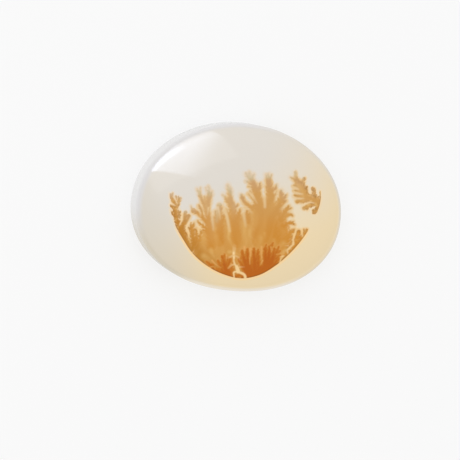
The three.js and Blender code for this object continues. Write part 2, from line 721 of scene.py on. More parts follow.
BROAD_PLUME = fronds(
    1.0,
    (((36, -34), (34, -8), (34.5, 10)), 22, 9),
    (((34.5, 8), (33.5, 18), (32.5, 24)), 10, 6.4),
    (((32, 23.5), (30.5, 27.5), (29.8, 31)), 4.2, 2.6),
    (((32.5, 24), (32.3, 28.5), (32.5, 31.5)), 4, 2.4),
    (((32.5, 23.5), (34.3, 27.5), (35.2, 31)), 4.6, 2.6),
    (((33, 15), (31, 17.5), (29.5, 19.5)), 4, 2.2),
    (((35, 13.5), (38.5, 17), (41, 21)), 5, 2.4),
    (((36, 5.5), (39, 11), (41, 15)), 4.4, 2.2),
    (((40, -6), (43, 2), (45.2, 9.5), (45.2, 15)), 9, 4.2),
    (((45, 3.5), (48, 7.5), (50, 11)), 4.4, 2.3),
    (((44, -2), (47.5, 2), (49.5, 5)), 4.8, 2.4),
    (((45, -13), (49, -6), (52.5, -0.5)), 9, 3.6),
    (((50.5, -4.5), (53.5, -3), (55, -2.5)), 3.6, 2),
    (((49, -11), (54, -8.5), (56.5, -10)), 5.4, 2.3),
    (((48, -20), (53.5, -17), (58.5, -18)), 6, 2.2),
    (((53, -18), (56, -16.5), (57.5, -15.5)), 3, 1.6),
    (((50, -33), (54, -27), (58.5, -24)), 9, 3),
)
CORNER_PLUME = fronds(
    0.8,
    (((58.5, -40), (61.3, -32), (62.8, -26)), 8.2, 4.6),
    (((62, -37), (67.5, -30), (70.6, -24)), 7.6, 3.2),
    (((68.5, -28), (68, -25), (68, -23.5)), 2.6, 2),
    (((52, -52), (57, -44), (61, -38)), 7, 6),
    (((43.5, -58), (48, -51.5), (52, -46)), 6, 6),
)
LONE_PLUME = fronds(
    0.7,
    (((86, 3), (78.5, 6), (70.5, 9)), 10, 7.6),
    (((71, 7.5), (67, 15), (63.5, 22)), 8.4, 9),
    (((64.5, 20), (62, 23), (61.5, 24.5)), 7.4, 6),
    (((62, 23), (60, 29), (59.3, 33.5)), 4.8, 3.2),
    (((61.5, 24), (57.5, 27), (54.5, 28.5)), 3.4, 2.4),
    (((65, 21.5), (67, 25), (68, 27.5)), 4.8, 3),
    (((64, 17.5), (61, 19), (58.5, 20)), 4.6, 3),
    (((68, 14), (70, 16.5), (70.5, 19)), 4, 2.8),
    (((67, 12.5), (62.5, 14.5), (59, 15.5)), 4.4, 3.6),
    (((69, 8.5), (63.5, 10), (59.5, 10.5)), 5.2, 4),
    (((72, 5.5), (65.5, 5), (61.5, 4.8)), 4.8, 4),
    (((77, 4), (78, 10), (77.5, 17)), 5.6, 4),
    (((82, 3), (74, 1), (68.5, -1.8)), 5.4, 4),
    (((73, 0), (71.5, -2), (71, -3.5)), 3, 2.2),
    (((83, 1), (81, -3), (78.5, -6.5)), 6, 4),
    (((79.5, -4), (78, -5), (77, -4.5)), 3, 2.4),
    (((84, 15), (84.2, 9), (83, 3)), 0.9, 1.5),
)
PLUMES = (
    *LEFT_PLUME, *FORKED_PLUME, *MIDDLE_PLUMES, *TALL_PLUME, *BROAD_PLUME, *CORNER_PLUME, *LONE_PLUME,
)

# Across the growth, how high the plumes' tips reach, and how far below that they come to their full colour
TIP_LINE = (
    (-67, 15, 12), (-56, 14, 11), (-54, -3, 6), (-48, -4, 6), (-45, 2, 9), (-41, 3, 9), (-38, 18, 14),
    (-31, 19, 15), (-24, 19, 15), (-21, 4, 6), (-14, 4, 6), (-12, 13, 11), (-9, 23, 16), (-5, 20, 14),
    (0, 5, 6), (4, 13, 6), (8, 20, 11), (12, 34, 17), (17, 31, 8), (23, 26, 5), (28, 33, 9), (36, 33, 9),
    (41, 22, 5), (46, 17, 5), (50, 13, 4), (54, 31, 8), (60, 36, 11), (68, 30, 6), (75, 60, 10),
    (90, 60, 10),
)

# Clear chalcedony left between the fronds, from its open end inwards
CLEAR_GAPS = (
    *streaks(
        0.95, 0.45,
        (((-61.5, 8.5), (-60, 5), (-58.5, 2.5)), 1.4, 0.9),
        (((-67, 4.2), (-64, 2.2), (-61, 0.4)), 3, 1.2),
        (((-55, -3.2), (-58, -2.8)), 1.5, 0.9),
        (((-66.5, -3.2), (-64, -4.5)), 1.1, 0.7),
        (((-53.5, -6), (-54, -13.5), (-56.5, -19.5)), 2, 0.8),
        (((-54, -13.5), (-56, -13.5), (-57.5, -12.5)), 1.5, 1.2),
        (((-44.5, -11.5), (-47.5, -17), (-49.5, -20.5), (-49.5, -23.5), (-47.5, -26)), 2.6, 1.2),
        (((-47.5, -26), (-47, -29), (-47.5, -31.5)), 1.4, 1),
        (((-40.5, -12), (-40, -17.5), (-37, -21.5), (-34.5, -23)), 3.4, 1.4),
        (((-38, -22.5), (-37.5, -25), (-37, -27.5)), 2, 1.4),
        (((58, -13), (54.5, -12.8), (51.8, -14.4)), 4, 2.6),
        (((59.5, -20.5), (55.5, -21.3), (52.5, -23.5)), 1.3, 0.7),
        (((60.8, -21.5), (58.6, -28.5), (57.3, -33.5), (57.2, -38.5)), 1.3, 1),
        (((57.2, -38.5), (54.3, -41.3), (51.7, -43.9), (51.7, -47.5)), 1.3, 0.9),
        (((57.3, -37), (57.5, -38.5)), 2, 1.6),
        (((65.8, -21), (65.8, -26), (66.5, -31)), 1.7, 0.8),
        (((68.8, -20.5), (69, -24)), 1.3, 0.7),
        (((66, 0), (73, 3.5), (78, 3)), 2, 1),
        (((75, -4), (77, -2)), 1.4, 0.8),
        (((56, 13.6), (61, 12.8), (66.5, 12)), 3, 1.1),
        (((57, 8.2), (62, 7.5), (67.5, 7.6)), 2.4, 1),
        (((55.5, 18.2), (59.5, 17.8), (62.5, 16.8)), 4, 1.4),
        (((47, -50), (44.8, -53.5), (43.8, -57)), 1, 0.8),
        (((45.5, -50.5), (46.5, -51)), 2.2, 1.6),
    ),
    *streaks(
        0.85, 0.3,
        (((-32, 17), (-33, 11), (-32, 5.5)), 1.8, 1),
        (((-29.5, 14), (-30.5, 8)), 1.2, 0.8),
        (((-27.5, -2), (-28.5, -9)), 1.3, 0.8),
        (((-18, -1), (-16.5, -8), (-15.8, -13)), 1.4, 1),
        (((-39.5, -2.5), (-36.5, -5.5), (-35.5, -10.5)), 1.6, 1),
        (((-41.5, -9.5), (-36.5, -12.5), (-31.5, -17.5)), 1.8, 0.9),
        (((-36, 3), (-33, -3.5), (-31.5, -10.5)), 1.7, 0.8),
        (((-22.5, 8), (-24, -1), (-24, -10), (-22.5, -24)), 3.4, 1.8),
        (((3.5, 5), (6, -1.5), (7.5, -8), (9.5, -20)), 3.2, 2.2),
        (((5.5, 1), (11, -2), (16, -7)), 2.4, 1),
        (((9, 15.5), (12.5, 8.5), (17, 2.5)), 2.2, 0.9),
        (((15.5, 12), (18.5, 7), (21, 3)), 1.3, 0.8),
        (((42.5, 16.5), (40.5, 10), (38.5, 4.5)), 2.2, 1.4),
        (((52, 4.5), (48.5, 0.5), (45, -3)), 2.2, 2),
        (((21, 26.5), (21, 21.5)), 2.4, 1.4),
    ),
    *streaks(
        0.9, 0.55,
        (((-13.5, 6), (-10.5, -5), (-8.5, -13.5), (-6.5, -25)), 2.4, 2.6),
        (((27, 30), (27.5, 16), (28.5, 7), (29, -1)), 4.2, 2),
    ),
)

# The brown growth on the near side of the ochre, in two bushes that root on the layer's edge
LEFT_BUSH = fronds(
    0.9,
    (((-17, -68), (-22.5, -62.5), (-25.5, -60)), 7, 3),
    (((-23.5, -60), (-27.5, -57.5), (-30, -55.5)), 4, 2),
    (((-12, -69), (-15.5, -60.5), (-18.3, -55)), 7.5, 2.4),
    (((-12, -67), (-17, -64), (-20, -62)), 4, 2),
    (((-9, -70), (-11, -60), (-13.4, -51)), 11, 3),
    (((-11.5, -57), (-11, -52), (-11.5, -48)), 3.2, 1.6),
    (((-7.5, -70), (-7.5, -60), (-6, -53.5)), 9, 2.6),
    (((-9.5, -61), (-8.5, -55), (-8, -51.5)), 3.4, 1.6),
    (((-5, -71), (-5, -64.5), (-4, -60.5)), 4.6, 2.6),
    (((-7, -63), (-5, -59.5), (-3.5, -57)), 3.2, 1.6),
    (((-6, -67), (-3, -64), (-2, -63)), 3.6, 1.5),
    (((-14, -68), (-8, -67)), 8, 8),
    (((-0.5, -71), (3.5, -69.5), (7.5, -71.5)), 3.4, 2.6),
)
RIGHT_BUSH = fronds(
    0.9,
    (((14, -74), (8, -62), (3, -54)), 11, 3.2),
    (((10, -64), (6.5, -60), (4.5, -58)), 4, 2),
    (((14, -71), (9, -56), (6, -45)), 12, 3.4),
    (((16, -71), (12.5, -56), (11.3, -43.5)), 11, 3.4),
    (((20, -71), (18.5, -56), (18, -43)), 12, 3.4),
    (((22.5, -70), (22, -58), (22.4, -50)), 8, 4.6),
    (((19.5, -54), (21.4, -47.5), (22.2, -43.5)), 5, 2.4),
    (((16, -60), (15.5, -55), (16, -51)), 4, 2.4),
    (((28, -69), (29.5, -56), (29.3, -43.5)), 12, 4.4),
    (((28.5, -50), (29.5, -43), (30, -38.5)), 3.4, 1.6),
    (((31, -56), (33, -47.5), (33.5, -41)), 10, 3),
    (((32.5, -48), (35, -41.5), (37, -37)), 3.2, 1.7),
    (((33, -60), (36.5, -51), (38.5, -43)), 11, 2.6),
    (((35, -57), (40, -47.5), (42.5, -40.5)), 6.5, 1.8),
    (((37, -53), (41.5, -47.5), (44, -45)), 4, 1.7),
    (((37, -55), (42, -50.5), (44.5, -49)), 4.4, 1.7),
    (((35, -62), (39.5, -56.5), (42.5, -53)), 8, 3),
    (((32, -66), (38, -61), (42, -57.5)), 7, 2.6),
    (((12, -71), (22, -66), (32, -62)), 14, 12),
)
BUSHES = (*LEFT_BUSH, *RIGHT_BUSH)
BUSH_GAPS = streaks(
    0.9, 0.6,
    (((14.5, -43), (14.5, -49), (13.8, -52)), 3, 2),
    (((13.8, -52), (13.8, -58)), 1.5, 1),
    (((25.5, -41), (25.5, -49), (26.5, -54.5)), 2, 1.4),
    (((26.5, -54.5), (25.5, -57), (24.5, -58.5)), 1.8, 1.2),
    (((-24, -54.5), (-20, -58.5), (-15, -61.8)), 1.8, 1.2),
    (((-26.5, -61.5), (-22.5, -60.5), (-20.5, -63.5)), 1.3, 0.9),
    (((-4.5, -58), (-7.8, -62)), 1.8, 1.6),
    (((8.5, -41), (8.5, -47)), 2.6, 1),
    (((35, -41), (35.5, -46)), 1.4, 0.8),
    (((40.5, -48.5), (44.5, -47.5)), 0.9, 0.9),
    (((-9.5, -49), (-10, -54)), 1.4, 0.8),
)

# The bright vein between the bushes, with its side branches
BRIGHT_VEIN = (
    *streaks(
        0.1, 0.65,
        (((-1.5, -40), (-2, -44), (-1.8, -48.5)), 4, 2),
        (((-9, -52), (-6, -51), (-2, -49)), 1.6, 2),
        (((4, -54.5), (2.5, -51.5), (-1.5, -49.5)), 1.2, 1.4),
        (((-7.5, -62.5), (-4.5, -59.5), (-1.3, -58)), 1.6, 1.6),
        (((3, -58.5), (1.5, -59.5), (0.5, -60.5)), 1.6, 1.4),
        (((8.5, -61), (4.5, -61), (1, -61.5)), 1.1, 1.8),
    ),
    *streaks(
        0.7, 0.95,
        (((-1.8, -48), (-2.2, -54), (-1.3, -58), (0.8, -61), (1.7, -64.5)), 1.1, 2.4),
    ),
    *streaks(
        0.95, 1.0,
        (((-2.4, -46.6), (-2.4, -47.8)), 2.2, 2.2),
        (((-2.2, -50.5), (-2, -52)), 2.2, 2),
        (((0.6, -60.5), (1.6, -63.5), (2, -65.3)), 3, 4.2),
        (((1.5, -65.3), (-1.5, -66), (-2.3, -67), (-1.8, -72)), 1.8, 1.1),
        (((2, -65), (3.5, -66.3), (7, -67.8), (9, -70), (9.3, -74)), 2.4, 2.6),
    ),
    # Thin bright lines along the gaps at the right and the left
    *streaks(
        0.5, 0.8,
        (((60.8, -21.5), (58.6, -28.5), (57.3, -33.5), (57.2, -38.5)), 0.9, 1.1),
        (((57.4, -37.5), (57.2, -38.5)), 1.6, 1.4),
        (((57.2, -38.5), (54.3, -41.3), (51.7, -43.9), (51.7, -47)), 1.1, 0.8),
        (((66, -22), (66, -26), (66.7, -30)), 1.2, 0.7),
        (((48, -49.8), (46.5, -50.4)), 1.3, 0.9),
        (((44.6, -52.5), (43.8, -57)), 0.9, 0.7),
        (((-54, -8), (-54.3, -13.5), (-56.3, -18.5)), 1, 0.7),
        (((-47.5, -17), (-49.4, -20.5), (-49.4, -23.5), (-47.3, -26.5), (-47, -31)), 1.2, 0.8),
        (((-38.5, -19), (-35.5, -22.5), (-34.2, -23.5)), 1.2, 0.8),
        (((-38, -22.5), (-37, -27.5)), 0.9, 0.6),
    ),
)

# Patches where the milky stone veils the plumes
MILKY_PATCHES = (
    *streaks(
        0.33, 0.25,
        (((-21, 4), (-18.5, -6), (-19.5, -15)), 8, 6),
    ),
    *streaks(
        0.17, 0.13,
        (((-29.5, 0), (-29.5, -12)), 6, 5),
        (((61, 19), (66, 8), (71, 5)), 6.5, 5),
        (((-2.5, 0), (-3, -12)), 6, 4),
        (((77, 15), (76, 10)), 4, 4),
        (((-60, 13), (-58, 4), (-57.5, -9)), 5, 4),
    ),
    *streaks(
        0.18, 0.14,
        (((-22, -14), (-24.5, -32)), 12, 11),
    ),
)

# Pale streaks where the ochre is thinner
PALE_STREAKS = (
    *streaks(
        0.5, 0.15,
        (((-47.5, -31), (-46.5, -35), (-45, -40)), 2, 1.4),
        (((-32, -50), (-27, -53), (-23, -56.5)), 5, 4),
        (((-25, -44), (-22, -51), (-17, -53.5)), 4, 2.4),
        (((50, -44), (46, -48), (45, -52)), 3, 3),
        (((-7, -46), (-2, -46), (3, -50)), 3, 2.4),
        (((-6.5, -25), (-7.5, -31), (-4.5, -37), (-1, -44)), 2.6, 3),
    ),
    *streaks(
        0.26, 0.1,
        (((63, 20), (67, 14), (72, 9)), 3.4, 3),
        (((-33, -32), (-32.5, -40), (-30, -48)), 5, 3),
        (((-20, -30), (-19, -39), (-20, -45)), 4, 2.6),
        (((-16, -8), (-16.5, -13)), 3, 2.2),
        (((8.5, -18), (9, -26), (10.5, -37)), 3.2, 3.6),
        (((13.5, -25), (14.5, -35), (14.5, -42)), 3, 3),
        (((25, -32), (24.5, -42)), 4, 3),
        (((28.5, -27), (29, -32)), 2, 1.6),
        (((38, -34), (40, -40), (39, -44)), 3, 1.6),
        (((48, -37), (43, -40), (40, -44)), 4, 3),
        (((-20, -22), (-21, -28)), 2, 2),
    ),
)


class Measure(Enum):
    """What is kept of the growth on each point of the skin. Edges are in millimetres, positive inside."""

    OCHRE = "growth_ochre_edge"  # edge of the ochre growth
    STEM = "growth_stem"  # how near to the middle of a frond, from -1 to 1
    BROWN = "growth_brown_edge"  # edge of the brown bushes
    LAYER = "growth_layer_edge"  # edge of the layer itself
    GAP = "growth_gap"  # clear stone between the plumes' fronds
    BUSH_GAP = "growth_bush_gap"  # clear stone between the bushes' fronds
    VEIN = "growth_vein"  # the bright vein and the thin bright lines
    STREAK = "growth_streak"  # pale streaks in the ochre
    BARB = "growth_barb"  # pale lines between the ochre teeth
    BROWN_BARB = "growth_brown_barb"  # pale lines between the brown teeth
    KNOB = "growth_knob"  # darker knobs at the fronds' tips
    DEPTH = "growth_depth"  # share of the greatest depth of the layer under the dome
    RISE = "growth_rise"  # share of the way up the growth
    TONE = "growth_tone"  # soft streaks that fan out from the root, from -1 to 1
    BLUR = "growth_blur"  # half the width of the growth's soft edge, in millimetres
    VEIL = "growth_veil"  # share of the growth that the milky stone over it hides
    SHOULDER = "growth_shoulder"  # dense part of the plumes below their veiled tips


@dataclass(frozen=True)
class LayerEdge:
    """The curve where the layer comes out through the dome, as a radius round a middle point.

    Its points go anticlockwise from its left end. Past both ends it goes on as an arc, over the closing
    turn, in radians.
    """

    middle: Point
    points: tuple[Point, ...]
    closing_turn: float = 0.6

    def radius(self, angle: np.ndarray) -> np.ndarray:
        """Distance from the middle to the curve.

        A closed cubic in the angle through the radius of each point, with the slope there of the radii next
        to it. Over the top, where the growth doesn't reach, the curve is closed by two arcs.

        Args:
            angle: Angles round the middle, from -pi to pi.

        Returns:
            The radius at each angle.
        """
        arm = np.array(self.points, dtype=float) - np.array(self.middle)
        turn = np.unwrap(np.arctan2(arm[:, 1], arm[:, 0]))
        reach = np.hypot(arm[:, 0], arm[:, 1])
        full_turn = turn[0] + 2 * np.pi
        closing = [turn[-1] + self.closing_turn, full_turn - self.closing_turn, full_turn]
        turn = np.concatenate([turn, closing])
        reach = np.concatenate([reach, [reach[-1], reach[0], reach[0]]])
        slope = np.gradient(reach, turn)
        wrapped = turn[0] + np.mod(angle - turn[0], 2 * np.pi)
        start = np.clip(np.searchsorted(turn, wrapped) - 1, 0, len(turn) - 2)
        span = turn[start + 1] - turn[start]
        t = (wrapped - turn[start]) / span
        leaving, arriving = t**3 - 2 * t**2 + t, t**3 - t**2
        from_start = (2 * t**3 - 3 * t**2 + 1) * reach[start] + leaving * span * slope[start]
        to_end = (3 * t**2 - 2 * t**3) * reach[start + 1] + arriving * span * slope[start + 1]
        return from_start + to_end


@dataclass(frozen=True)
class Teeth:
    """The small teeth along the fronds. Lengths are in grid steps, and widths and the sway in teeth.

    The ranges hold the least and the greatest share of the spacing that a frond may have, and of the full
    length that a tooth may have. The greatest size is a share of the frond's radius. Reach and foot are how
    far a tooth reaches out from its foot, and how far the foot is inside the edge, both as shares of its
    size. A pale line starts, and ends, between two shares of the way out.
    """

    spacing: float = 3.1
    spacing_range: Point = (0.85, 1.2)
    length_range: Point = (0.3, 1.35)
    drawn: int = 512
    lean: float = 0.9
    start: float = 10.0
    sway: float = 0.3
    sway_pace: float = 1.9
    bluntness: float = 0.6
    greatest: float = 0.55
    reach: float = 1.5
    foot: float = 0.75
    line_width: float = 0.16
    line_start: Point = (0.15, 0.8)
    line_end: Point = (2.4, 1.4)

    def along(
        self, frond: Frond, beside: Beside, random: np.random.Generator
    ) -> tuple[np.ndarray, np.ndarray]:
        """How far a frond's teeth move its edge, and how pale the stone is between them.

        A tooth's number is the distance along the line, less the lean times the distance aside, over the
        spacing, swayed by a sine, so teeth lean towards the tip. Across a tooth its length follows a half
        sine to the power of the bluntness, and each tooth has a length of its own. The pale lines between
        teeth are narrow bells that start part of the way out.

        Args:
            frond: The frond.
            beside: How the points lie to it.
            random: Source of the uneven spacing and length.

        Returns:
            The move of the edge in steps, and the paleness from 0 to 1, for each point.
        """
        left = beside.aside > 0
        aside = np.abs(beside.aside)
        left_start, right_start, bend = random.uniform(0, self.start, 3)
        spacing = self.spacing * frond.fringe * random.uniform(*self.spacing_range)
        lengths = random.uniform(*self.length_range, self.drawn)
        number = (beside.along - self.lean * aside) / spacing
        number = number + np.where(left, left_start, right_start) + self.start
        number += self.sway * np.sin(self.sway_pace * number + bend)
        share = number - np.floor(number)
        length = lengths[np.clip(2 * np.floor(number).astype(int) + left, 0, self.drawn - 1)]
        tooth = np.sin(np.pi * share) ** self.bluntness
        size = np.minimum(frond.fringe, self.greatest * beside.radius)
        out = aside / beside.radius
        line = np.exp(-((np.minimum(share, 1 - share) / self.line_width) ** 2))
        line = line * ease(*self.line_start, out) * ease(*self.line_end, out)
        return size * (self.reach * length * tooth - self.foot), line * np.minimum(1.0, length)


@dataclass(frozen=True)
class Fan:
    """Soft streaks that fan out from the growth's root, from random values on a lattice.

    The lattice has its turns round the root, in radians, and its ways away from it, in grid steps. Each
    layer is a size for the lattice's steps, and the strength that it is added with.
    """

    root: Point = (4, -92)
    turn_step: float = 0.075
    way_step: float = 26.0
    turns: int = 400
    ways: int = 64
    first_way: int = 10
    bend: float = 0.03
    bend_way: float = 8.0
    bend_turn: float = 7.0
    layers: tuple[Point, ...] = ((1.0, 0.65), (0.5, 0.35))

    def tone(self, right: np.ndarray, high: np.ndarray, random: np.random.Generator) -> np.ndarray:
        """Tone of the streaks.

        Random values on a lattice of angle round the root and distance from it, joined by smooth steps. The
        lattice is fine in angle, coarse in distance and bent by a sine, and one of half the size and
        strength is added.

        Args:
            right: Steps across.
            high: Steps up.
            random: Source of the values.

        Returns:
            The tone at each point, from -1 to 1.
        """
        turn = np.arctan2(right - self.root[0], high - self.root[1])
        way = np.hypot(right - self.root[0], high - self.root[1])
        turn = turn + self.bend * np.sin(way / self.bend_way + self.bend_turn * turn)
        tone = np.zeros(right.shape)
        for size, strength in self.layers:
            column = turn / (self.turn_step * size) + self.turns / 2
            row = way / (self.way_step * size) + self.first_way
            values = random.uniform(-1, 1, (self.ways, self.turns))
            left, low = np.floor(column).astype(int), np.floor(row).astype(int)
            share, rest = ease(0, 1, column - left), ease(0, 1, row - low)
            left, low = np.clip(left, 0, self.turns - 2), np.clip(low, 0, self.ways - 2)
            under = values[low, left] * (1 - share) + values[low, left + 1] * share
            over = values[low + 1, left] * (1 - share) + values[low + 1, left + 1] * share
            tone += strength * (under * (1 - rest) + over * rest)
        return tone


@dataclass
class Growth:
    """The growth, as measures on the points of the stone's skin.

    Lengths are in grid steps, and blurs in millimetres. Of two numbers for the knobs, there is none at the
    first, and they are full at the second. For the shoulder and the gaps, the second number is added for
    each step of the tips' fade or of the blur. A negative softness is a share of a streak's width.
    """

    layer: GrowthLayer
    edge: LayerEdge = LayerEdge(LAYER_EDGE_MIDDLE, LAYER_EDGE)
    teeth: Teeth = Teeth()
    fan: Fan = Fan()
    seed: int = 7
    far: float = 12.0
    stem_edge: float = 0.8
    stem_share: float = 0.4
    knob_length: float = 4.0
    knob_depth: Point = (-0.4, 0.8)
    knob_radius: Point = (2.8, 1.6)
    knob_edge: Point = (2.4, 1.2)
    root_height: float = -72.0
    full_height: float = 110.0
    shallow_blur: float = 0.045
    deep_blur: float = 0.13
    least_veil: float = 0.02
    deep_veil: float = 0.03
    tip_veil: float = 0.5
    shoulder_start: float = 0.6
    shoulder_length: Point = (6.0, 1.2)
    gap_soft: Point = (0.5, 0.6)
    bush_gap_soft: float = 0.7
    vein_soft: float = 0.6
    streak_soft: float = -0.6
    patch_soft: float = -0.7
    back_blur: float = 0.9
    back_veil: float = 0.8
    back_softness: float = 0.2

    def _edge_of(
        self, group: tuple[Frond, ...], right: np.ndarray, high: np.ndarray, random: np.random.Generator
    ) -> tuple[np.ndarray, np.ndarray, np.ndarray, np.ndarray]:
        """How points lie in a group of toothed fronds.

        Args:
            group: The fronds.
            right: Steps across.
            high: Steps up.
            random: Source of the teeth's unevenness.

        Returns:
            The distance inside the nearest edge in steps, that distance as a share of what makes a full
            stem, the paleness between teeth, and the strength of the darker knob at a frond's tip.
        """
        edge = np.full(right.shape, -self.far)
        stem = np.full(right.shape, -1.0)
        pale, knob = np.zeros(right.shape), np.zeros(right.shape)
        for frond in group:
            beside = frond.beside(right, high, self.far)
            near = beside.near
            shift, line = self.teeth.along(frond, beside, random)
            depth = beside.depth + shift
            over = depth > edge[near]
            edge[near] = np.where(over, depth, edge[near])
            pale[near] = np.where(over, line, pale[near])
            share = np.clip(depth / (self.stem_edge + self.stem_share * beside.radius), -1, 1)
            stem[near] = np.maximum(stem[near], share)
            dark = ease(self.knob_length, 0.0, beside.rest) * ease(*self.knob_depth, beside.depth)
            knob[near] = np.maximum(knob[near], dark * ease(*self.knob_radius, beside.radius))
        return edge, stem, pale, knob * ease(*self.knob_edge, edge)

    def _strength_of(
        self, group: tuple[Streak, ...], right: np.ndarray, high: np.ndarray, soft: np.ndarray | float
    ) -> np.ndarray:
        """Strength of a group of streaks: each fades out smoothly over a soft edge.

        Args:
            group: The streaks.
            right: Steps across.
            high: Steps up.
            soft: Half the width of the soft edge in steps, or if negative, as a share of a streak's width.

        Returns:
            The greatest strength at each point, from 0 to 1.
        """
        strength = np.zeros(right.shape)
        for streak in group:
            beside = streak.frond.beside(right, high, self.far)
            edge = np.broadcast_to(soft, right.shape)[beside.near]
            edge = np.where(edge < 0, -edge * streak.frond.root_width, edge)
            here = streak.first + (streak.last - streak.first) * beside.way
            here = here * ease(-1, 1, beside.depth / edge)
            strength[beside.near] = np.maximum(strength[beside.near], here)
        return strength

    def _veil_and_shoulder(
        self, right: np.ndarray, high: np.ndarray, depth: np.ndarray
    ) -> tuple[np.ndarray, np.ndarray]:
        """The veil of milky stone over the growth, and the dense shoulders of its plumes.

        The veil is a little stronger where the layer is deep, and strongest at the plumes' tips, where it
        goes over the length that TIP_LINE gives. In the milky patches it is at least as strong as they are.
        The shoulder is full at the start of its own share of that length, and goes over its own length.

        Args:
            right: Steps across.
            high: Steps up.
            depth: Share of the greatest depth of the layer.

        Returns:
            The veil and the shoulder at each point, from 0 to 1.
        """
        tips = np.array(TIP_LINE, dtype=float)
        tip, fade = (np.interp(right, tips[:, 0], tips[:, column]) for column in (1, 2))
        below = tip - high
        veil = self.least_veil + self.deep_veil * ease(0.5, 1.0, depth)
        veil = veil + self.tip_veil * ease(1.0, 0.0, below / fade)
        veil = np.maximum(veil, self._strength_of(MILKY_PATCHES, right, high, self.patch_soft))
        length = self.shoulder_length[0] + self.shoulder_length[1] * fade
        return veil, ease(length, 0.0, below - self.shoulder_start * fade)

    def measure(self, points: np.ndarray, part: np.ndarray) -> dict[Measure, np.ndarray]:
        """Works out every measure.

        Depth is one less the square of the share of the way from the middle of the layer to its edge,
        because the dome falls away over a flat layer. Blur rises with the depth. On the back the growth is
        a faint and blurred ghost, and on the side there is none.

        Args:
            points: Points of the skin in millimetres.
            part: Which SkinPart each belongs to.

        Returns:
            One value of each measure for each point.
        """
        random = np.random.default_rng(self.seed)
        right, high = self.layer.project(points)
        step = self.layer.step
        ochre, stem, barb, knob = self._edge_of(PLUMES, right, high, random)
        ochre = np.maximum(ochre, inside_outline(BODY_OUTLINE, right, high))
        brown, _, brown_barb, _ = self._edge_of(BUSHES, right, high, random)

        across, up = right - self.edge.middle[0], high - self.edge.middle[1]
        way = np.hypot(across, up)
        reach = self.edge.radius(np.arctan2(up, across))
        depth = np.clip(1 - (way / reach) ** 2, 0, 1)
        on_back = part == SkinPart.BACK.value
        on_side = part == SkinPart.SIDE.value
        inside = (reach - way) * step * np.where(on_back, self.back_softness, 1.0)
        blur = self.shallow_blur + self.deep_blur * depth**1.25
        gap_soft = self.gap_soft[0] + self.gap_soft[1] * blur / step
        veil, shoulder = self._veil_and_shoulder(right, high, depth)
        return {
            Measure.OCHRE: ochre * step,
            Measure.STEM: stem,
            Measure.BROWN: brown * step,
            Measure.LAYER: np.where(on_side, -1.0, inside),
            Measure.GAP: self._strength_of(CLEAR_GAPS, right, high, gap_soft),
            Measure.BUSH_GAP: self._strength_of(BUSH_GAPS, right, high, self.bush_gap_soft),
            Measure.VEIN: self._strength_of(BRIGHT_VEIN, right, high, self.vein_soft),
            Measure.STREAK: self._strength_of(PALE_STREAKS, right, high, self.streak_soft),
            Measure.BARB: barb,
            Measure.BROWN_BARB: brown_barb,
            Measure.KNOB: knob,
            Measure.DEPTH: depth,
            Measure.RISE: np.clip((high - self.root_height) / self.full_height, 0, 1),
            Measure.TONE: self.fan.tone(right, high, random),
            Measure.BLUR: np.where(on_back, self.back_blur, blur),
            Measure.VEIL: np.where(on_back, self.back_veil, veil),
            Measure.SHOULDER: shoulder,
        }

    def keep_on(self, skin: bpy.types.Object, part: np.ndarray) -> None:
        """Keeps every measure on the skin's points.

        Args:
            skin: The stone's skin.
            part: Which SkinPart each of its points belongs to.
        """
        mesh = skin.data
        places = np.empty(len(mesh.vertices) * 3)
        mesh.vertices.foreach_get("co", places)
        for measure, values in self.measure(places.reshape(-1, 3) / MM, part).items():
            keep_numbers(mesh, measure.value, values)


class Socket(Enum):
    """The kinds of socket that the node groups have."""

    NUMBER = "NodeSocketFloat"
    COLOUR = "NodeSocketColor"
    VECTOR = "NodeSocketVector"


